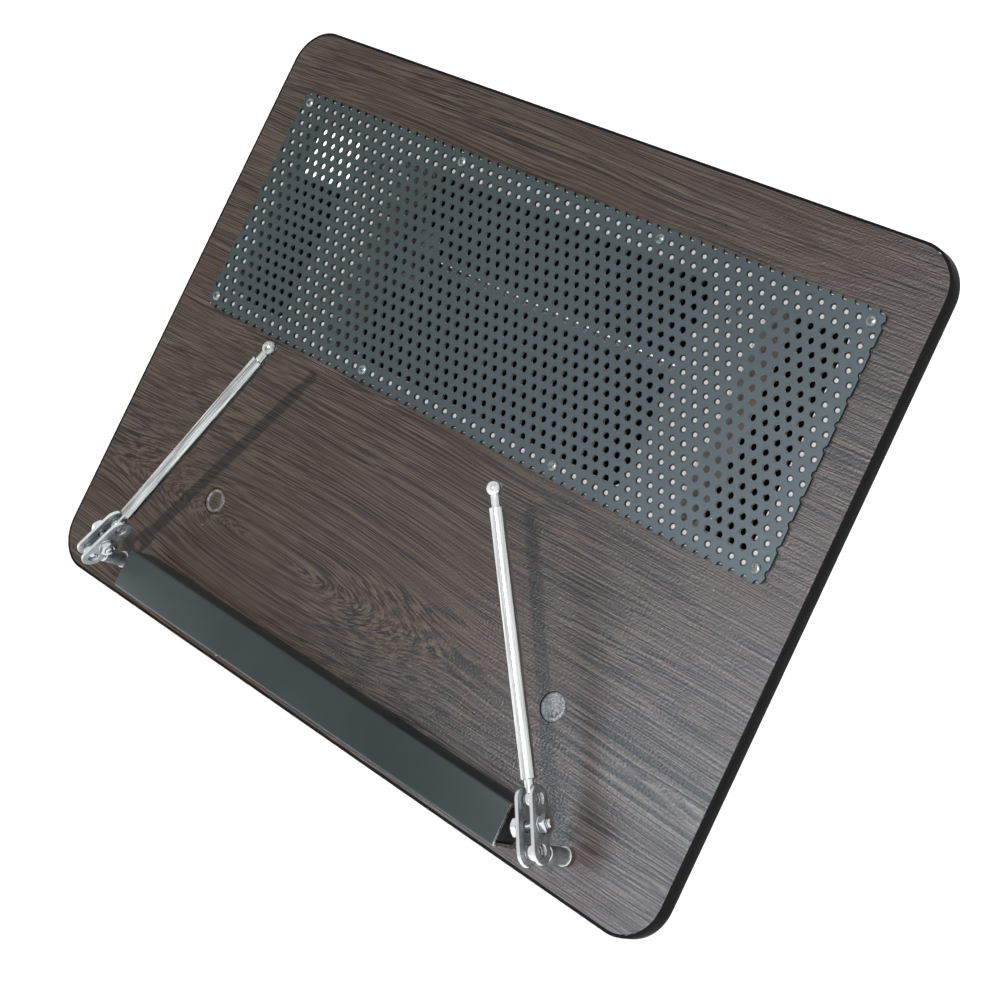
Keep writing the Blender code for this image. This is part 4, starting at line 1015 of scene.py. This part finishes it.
def bracket_bores(side):
    """The holes for the prop's pin and the two screws."""
    bores = [cylinder(PIN_BORE, 9 * MM, 32)]
    bores[0].transform(at(side * (EAR_IN + MM), PIVOT_Y, PIVOT_Z) @ ACROSS)
    for k in (-1, 1):
        bores.append(cylinder(SCREW_BORE, 9 * MM, 24))
        bores[-1].transform(at(side * BATTEN_X, PIVOT_Y + k * BRACKET_SCREW_Y, FLANGE_BACK))
    return joined(bores)


def stop_tab(side):
    """The tab behind the prop's leg that stops it when it is open."""
    along = Vector((0, -math.cos(OPEN), -math.sin(OPEN)))
    beyond = Vector((0, math.sin(OPEN), -math.cos(OPEN)))
    spot = Vector((0, PIVOT_Y, PIVOT_Z)) + along * TAB_PLACE + beyond * (PROP_RADIUS + GAP + TAB_HALF)
    low, high = sorted((side * (LEG_X - PROP_RADIUS / 2), side * (EAR_IN + MM)))
    tab = plate([round_box(high - low, 8 * MM, 0.6 * MM, (low + high) / 2, 0, 3)], -TAB_HALF, TAB_HALF, 0.3 * MM)
    tab.transform(Matrix.Translation(spot) @ about("X", math.atan2(along.z, along.y)))
    return tab


for side, word in SIDES:
    strip = folded_strip(side)
    for cut in (ear_trim(side, -1), ear_trim(side, 1), bracket_bores(side)):
        strip = boolean(strip, cut)
    strip = boolean(strip, stop_tab(side), "UNION")
    piece("folded_bracket_" + word, strip, BOARD, "stand", "black_steel", ["prop_bracket_" + word], BLACK_STEEL)

# %% [markdown]
# ## The wire prop
# One steel wire is bent into a wide U. Its ends turn outwards through the brackets as pins, with a
# pressed cap on each, and two ribbed rubber sleeves grip the table.

# %% Wire, caps and sleeves
PIN_BEND, FOOT_BEND, SLEEVE_HALF, RIB_PITCH = 4.2 * MM, 12 * MM, 16 * MM, 4.1
PIN_CAP = [(3.6, 3), (5.0, 3), (5.7, 2.7), (6, 2.2), (6, 1.0), (5.8, 0.4), (5.4, 0), (3.6, 0), (3.6, 3)]
half = [(EAR_OUT + GAP + 4.5 * MM, 0)] + arc(LEG_X + PIN_BEND, PIN_BEND, PIN_BEND, math.pi * 1.5, math.pi, 8)
half += arc(LEG_X - FOOT_BEND, PROP_LENGTH - FOOT_BEND, FOOT_BEND, 0, QUARTER, 14)
wire = curve_mesh([half + [(-x, y) for x, y in reversed(half)]], False, dimensions="3D", bevel_depth=PROP_RADIUS,
                  bevel_resolution=6, use_fill_caps=True)
piece("bent_wire", smooth(tidy(wire)), PROP, "prop_body", "black_steel", ["prop_wire"], BLACK_STEEL)
bore = PROP_RADIUS / MM + 0.1
sleeve = [(bore, 16), (5.6, 16), (6.2, 15.4)]
for top in (14.6 - rib * RIB_PITCH for rib in range(7)):
    sleeve += [(6.5, top), (6.5, top - 2.6), (6.1, top - 3.0), (6.1, top - 3.7)]
sleeve += [(6.5, -14.6), (6.2, -15.4), (5.6, -16), (bore, -16), (bore, 16)]
for side, word in SIDES:
    turn = about("Y", side * QUARTER)
    place = PROP @ at(side * (EAR_OUT + GAP), 0, 0) @ turn
    piece("pressed_cap_" + word, spun(in_mm(PIN_CAP), 40), place, "prop_body", "black_steel", ["pin_cap_" + word],
          BLACK_STEEL)
    place = PROP @ at(side * (LEG_X - 22 * MM - SLEEVE_HALF), PROP_LENGTH, 0) @ turn
    piece("ribbed_sleeve_" + word, spun(in_mm(sleeve), 40), place, "prop_body", "rubber", ["foot_sleeve_" + word],
          RUBBER)

# %% [markdown]
# A steel axle lies between the two legs on the prop's hinge line. It is the row of bright dots that
# shows through the middle window's holes.

# %% Axle
axle = cylinder(3 * MM, LEG_X - PROP_RADIUS * 0.9, 40)
piece("prop_axle", axle, PROP @ ACROSS, "prop_body", "chrome", [], CHROME)

# %% [markdown]
# ## What stays from the solid model
# The board itself and the four screws hidden in it have the right shape already. They keep their
# solids and only get a finish.

# %% Finishes on the kept solids
KEPT = [NODES[name] for name in (
    "board", "lower_screw_left", "lower_screw_right", "upper_screw_left", "upper_screw_right")]
for item, look in zip(KEPT, [LAMINATE] + [ZINC] * 4):
    item.data.materials.clear()
    item.data.materials.append(look)
print("kept", [item.name for item in KEPT])

# %% [markdown]
# ## Floor and light
# The floor is plain white. A soft key light from the front, a little to the right, throws the rods'
# shadows on the board, and a weak fill comes from the camera's side. Two more reach the back only.
# The floor has a lamp and a fill of its own, so that it is white without the object being overlit.

# %% Floor
def plain_look(name, scale, dark, pale):
    """A flat matt finish between two tones."""
    look, tree, shader = start_material(name, 0.9, 0.0, 0.0)
    feed(shader.inputs["Base Color"], mix(noise(object_vector(tree), scale), dark, pale))
    return look


FLOOR_REACH = 4
floor_look = plain_look("white_floor", 3.0, (0.90, 0.90, 0.90), (0.92, 0.92, 0.92))
corners = [(sx * FLOOR_REACH, sy * FLOOR_REACH, 0) for sx, sy in ((-1, -1), (1, -1), (1, 1), (-1, 1))]
floor = in_scene("floor", flat_mesh("floor", corners, [(0, 1, 2, 3)]))
floor.data.materials.append(floor_look)

# %% [markdown]
# The windows are nearly black, because nothing bright lies behind them. One flag that only throws a
# shadow keeps the lamps from shining through the windows. Two dark cards, behind the prop and behind
# the left window, fill the view through the holes with painted shade, standing in for the shade
# behind the stand. They show from the front only, so that they don't cover the stand's back, and the
# left one ends lower, where a patch of pale table shows through that window.

# %% Shadow flag and cards of painted shade behind the windows
# The cards' near-black is painted shade, seen only from the front.
shade_card_look = plain_look("dark_card", 40.0, (0.004, 0.005, 0.005), (0.02, 0.022, 0.022))
tree = shade_card_look.node_tree
from_behind = add(tree, "NewGeometry").outputs["Backfacing"]
either = add(tree, "MixShader", {0: from_behind, 1: tree.nodes["Principled BSDF"], 2: add(tree, "BsdfTransparent")})
feed(tree.nodes["Material Output"].inputs["Surface"], either)


def card(name, outline, level, look):
    """A flat card of the stage, in millimetres of the board's axes, that faces forwards."""
    mesh = flat_mesh(name, [(x * MM, y * MM, level * MM) for x, y in outline], [tuple(range(len(outline)))])
    mesh.transform(BOARD)
    mesh.materials.append(look)
    item = in_scene(name, mesh)
    item.visible_diffuse = item.visible_glossy = item.visible_transmission = False
    return item


for name, low_x, high_x, low_y, high_y, level, look in (
    ("shadow_flag", -189, 189, 128, 272, BATTEN_FRONT / MM - 1, floor_look),
    ("dark_card", -142, 142, 140, 262, -41, shade_card_look), ("dark_card_left", -191, -148, 140, 219, -24.5, shade_card_look),
):
    shown = card(name, [(low_x, low_y), (high_x, low_y), (high_x, high_y), (low_x, high_y)], level, look)
    shown.visible_camera, shown.visible_shadow = look is shade_card_look, look is floor_look

# %% [markdown]
# Chrome only looks like chrome if it has something dark to reflect. A narrow black card far to the
# right shows as the thin dark line along the right rod; nothing but reflections can see it.

# %% Black card
CARD_WAY, CARD_AWAY = Vector((0.737, 0.469, 0.487)), 1.3
CARD_WIDTH, CARD_LENGTH, SEEN_ALONG_ROD = 0.07, 4.0, 60 * MM
rod_way = ROD["right"].to_3x3() @ Vector((0, 1, 0))
card_side = rod_way.cross(CARD_WAY).normalized()
seen_at = ROD["right"] @ Vector((0, SEEN_ALONG_ROD, 0))
card_mesh = plate([round_box(CARD_WIDTH, CARD_LENGTH, 0.01)], -2 * MM, 2 * MM, 0.5 * MM)
card_mesh.transform(Matrix.Translation(seen_at + CARD_AWAY * CARD_WAY)
                    @ axes(card_side, rod_way, card_side.cross(rod_way)))
card_mesh.materials.append(plain_look("black_card", 3.0, (0.0, 0.0, 0.0), (0.004, 0.004, 0.004)))
black_card = in_scene("black_card", card_mesh)
black_card.visible_camera = black_card.visible_diffuse = black_card.visible_transmission = False
black_card.visible_shadow = False

# %% [markdown]
# Every lamp is linked to the pieces it may light: all of them, the board's face and what lies on it,
# what can be seen from behind, or the floor alone.

# %% Lamps
subjects, ground, faces, backs = (
    bpy.data.collections.new(name) for name in ("lit_object", "lit_floor", "lit_faces", "lit_backs"))
for item in PIECES + KEPT:
    subjects.objects.link(item)
    if item.name in ("board", "edge_strip", "perforated_plate", "cap_left", "cap_right"):
        faces.objects.link(item)
    if not item.name.startswith(("left_", "right_", "book_", "end_plug", "perforated", "sheet_")):
        backs.objects.link(item)
ground.objects.link(floor)
for name, towards, strength, angle, receivers in (
    ("key", (0.19, -0.67, 0.758), 2.5, 3, subjects),
    ("fill", TO_CAMERA, 0.32, 60, subjects),
    ("back_fill", (-0.2, 0.9, 0.45), 1.6, 60, backs),
    ("low_back_fill", (-0.4, 0.9, -0.2), 0.7, 40, backs),
    ("floor_lamp", (0.70, -0.797, 0.606), 6.5, 8, ground),
    ("floor_fill", (0.2, 0.1, 1.0), 1.9, 90, ground),
):
    lamp = in_scene(name, bpy.data.lights.new(name, "SUN"))
    lamp.data.energy, lamp.data.angle = strength, math.radians(angle)
    lamp.rotation_euler = Vector(towards).to_track_quat("Z", "Y").to_euler()
    lamp.light_linking.receiver_collection = receivers

# %% A softbox for the sheen on the right of the board
SHEEN_SPOT, SHEEN_WAY = Vector((0.258, 0.086, 0)), Vector((-0.465, -0.113, 0.878))
BOX_WIDTH, BOX_HEIGHT, BOX_POWER, BOX_TINT = 0.22, 1.0, 12.5, (0.85, 1.0, 1.15)
box_data = bpy.data.lights.new("softbox", "AREA")
box_data.shape, box_data.size, box_data.size_y = "ELLIPSE", BOX_WIDTH, BOX_HEIGHT
box_data.energy, box_data.color = BOX_POWER, BOX_TINT
box_data.use_shadow = False
softbox = in_scene("softbox", box_data)
sheen_way = BOARD.to_3x3() @ SHEEN_WAY
softbox.location = BOARD @ SHEEN_SPOT + sheen_way
softbox.rotation_euler = sheen_way.to_track_quat("Z", "Y").to_euler()
softbox.light_linking.receiver_collection = faces
softbox.visible_diffuse = False

# %% Surroundings
LIT_BY_ROOM, ROOM_SEEN = (0.02, 0.02, 0.02), (1.0, 1.0, 1.0)
world = bpy.data.worlds.new("surroundings")
bpy.context.scene.world = world
world.use_nodes = True
tree = world.node_tree
path = add(tree, "LightPath").outputs
seen = calc("MAXIMUM", path["Is Camera Ray"], path["Is Glossy Ray"])
seen = calc("MAXIMUM", seen, path["Is Transmission Ray"])
feed(tree.nodes["Background"].inputs["Color"], mix(seen, LIT_BY_ROOM, ROOM_SEEN))
bpy.context.scene.view_settings.view_transform = "Standard"

# %% [markdown]
# Lamps that light only some pieces are picked evenly here. With picking by importance switched on,
# the key light could go missing on the board, and the picture has to be the same each time.

# %% Even picking of lamps
bpy.context.scene.cycles.use_light_tree = False
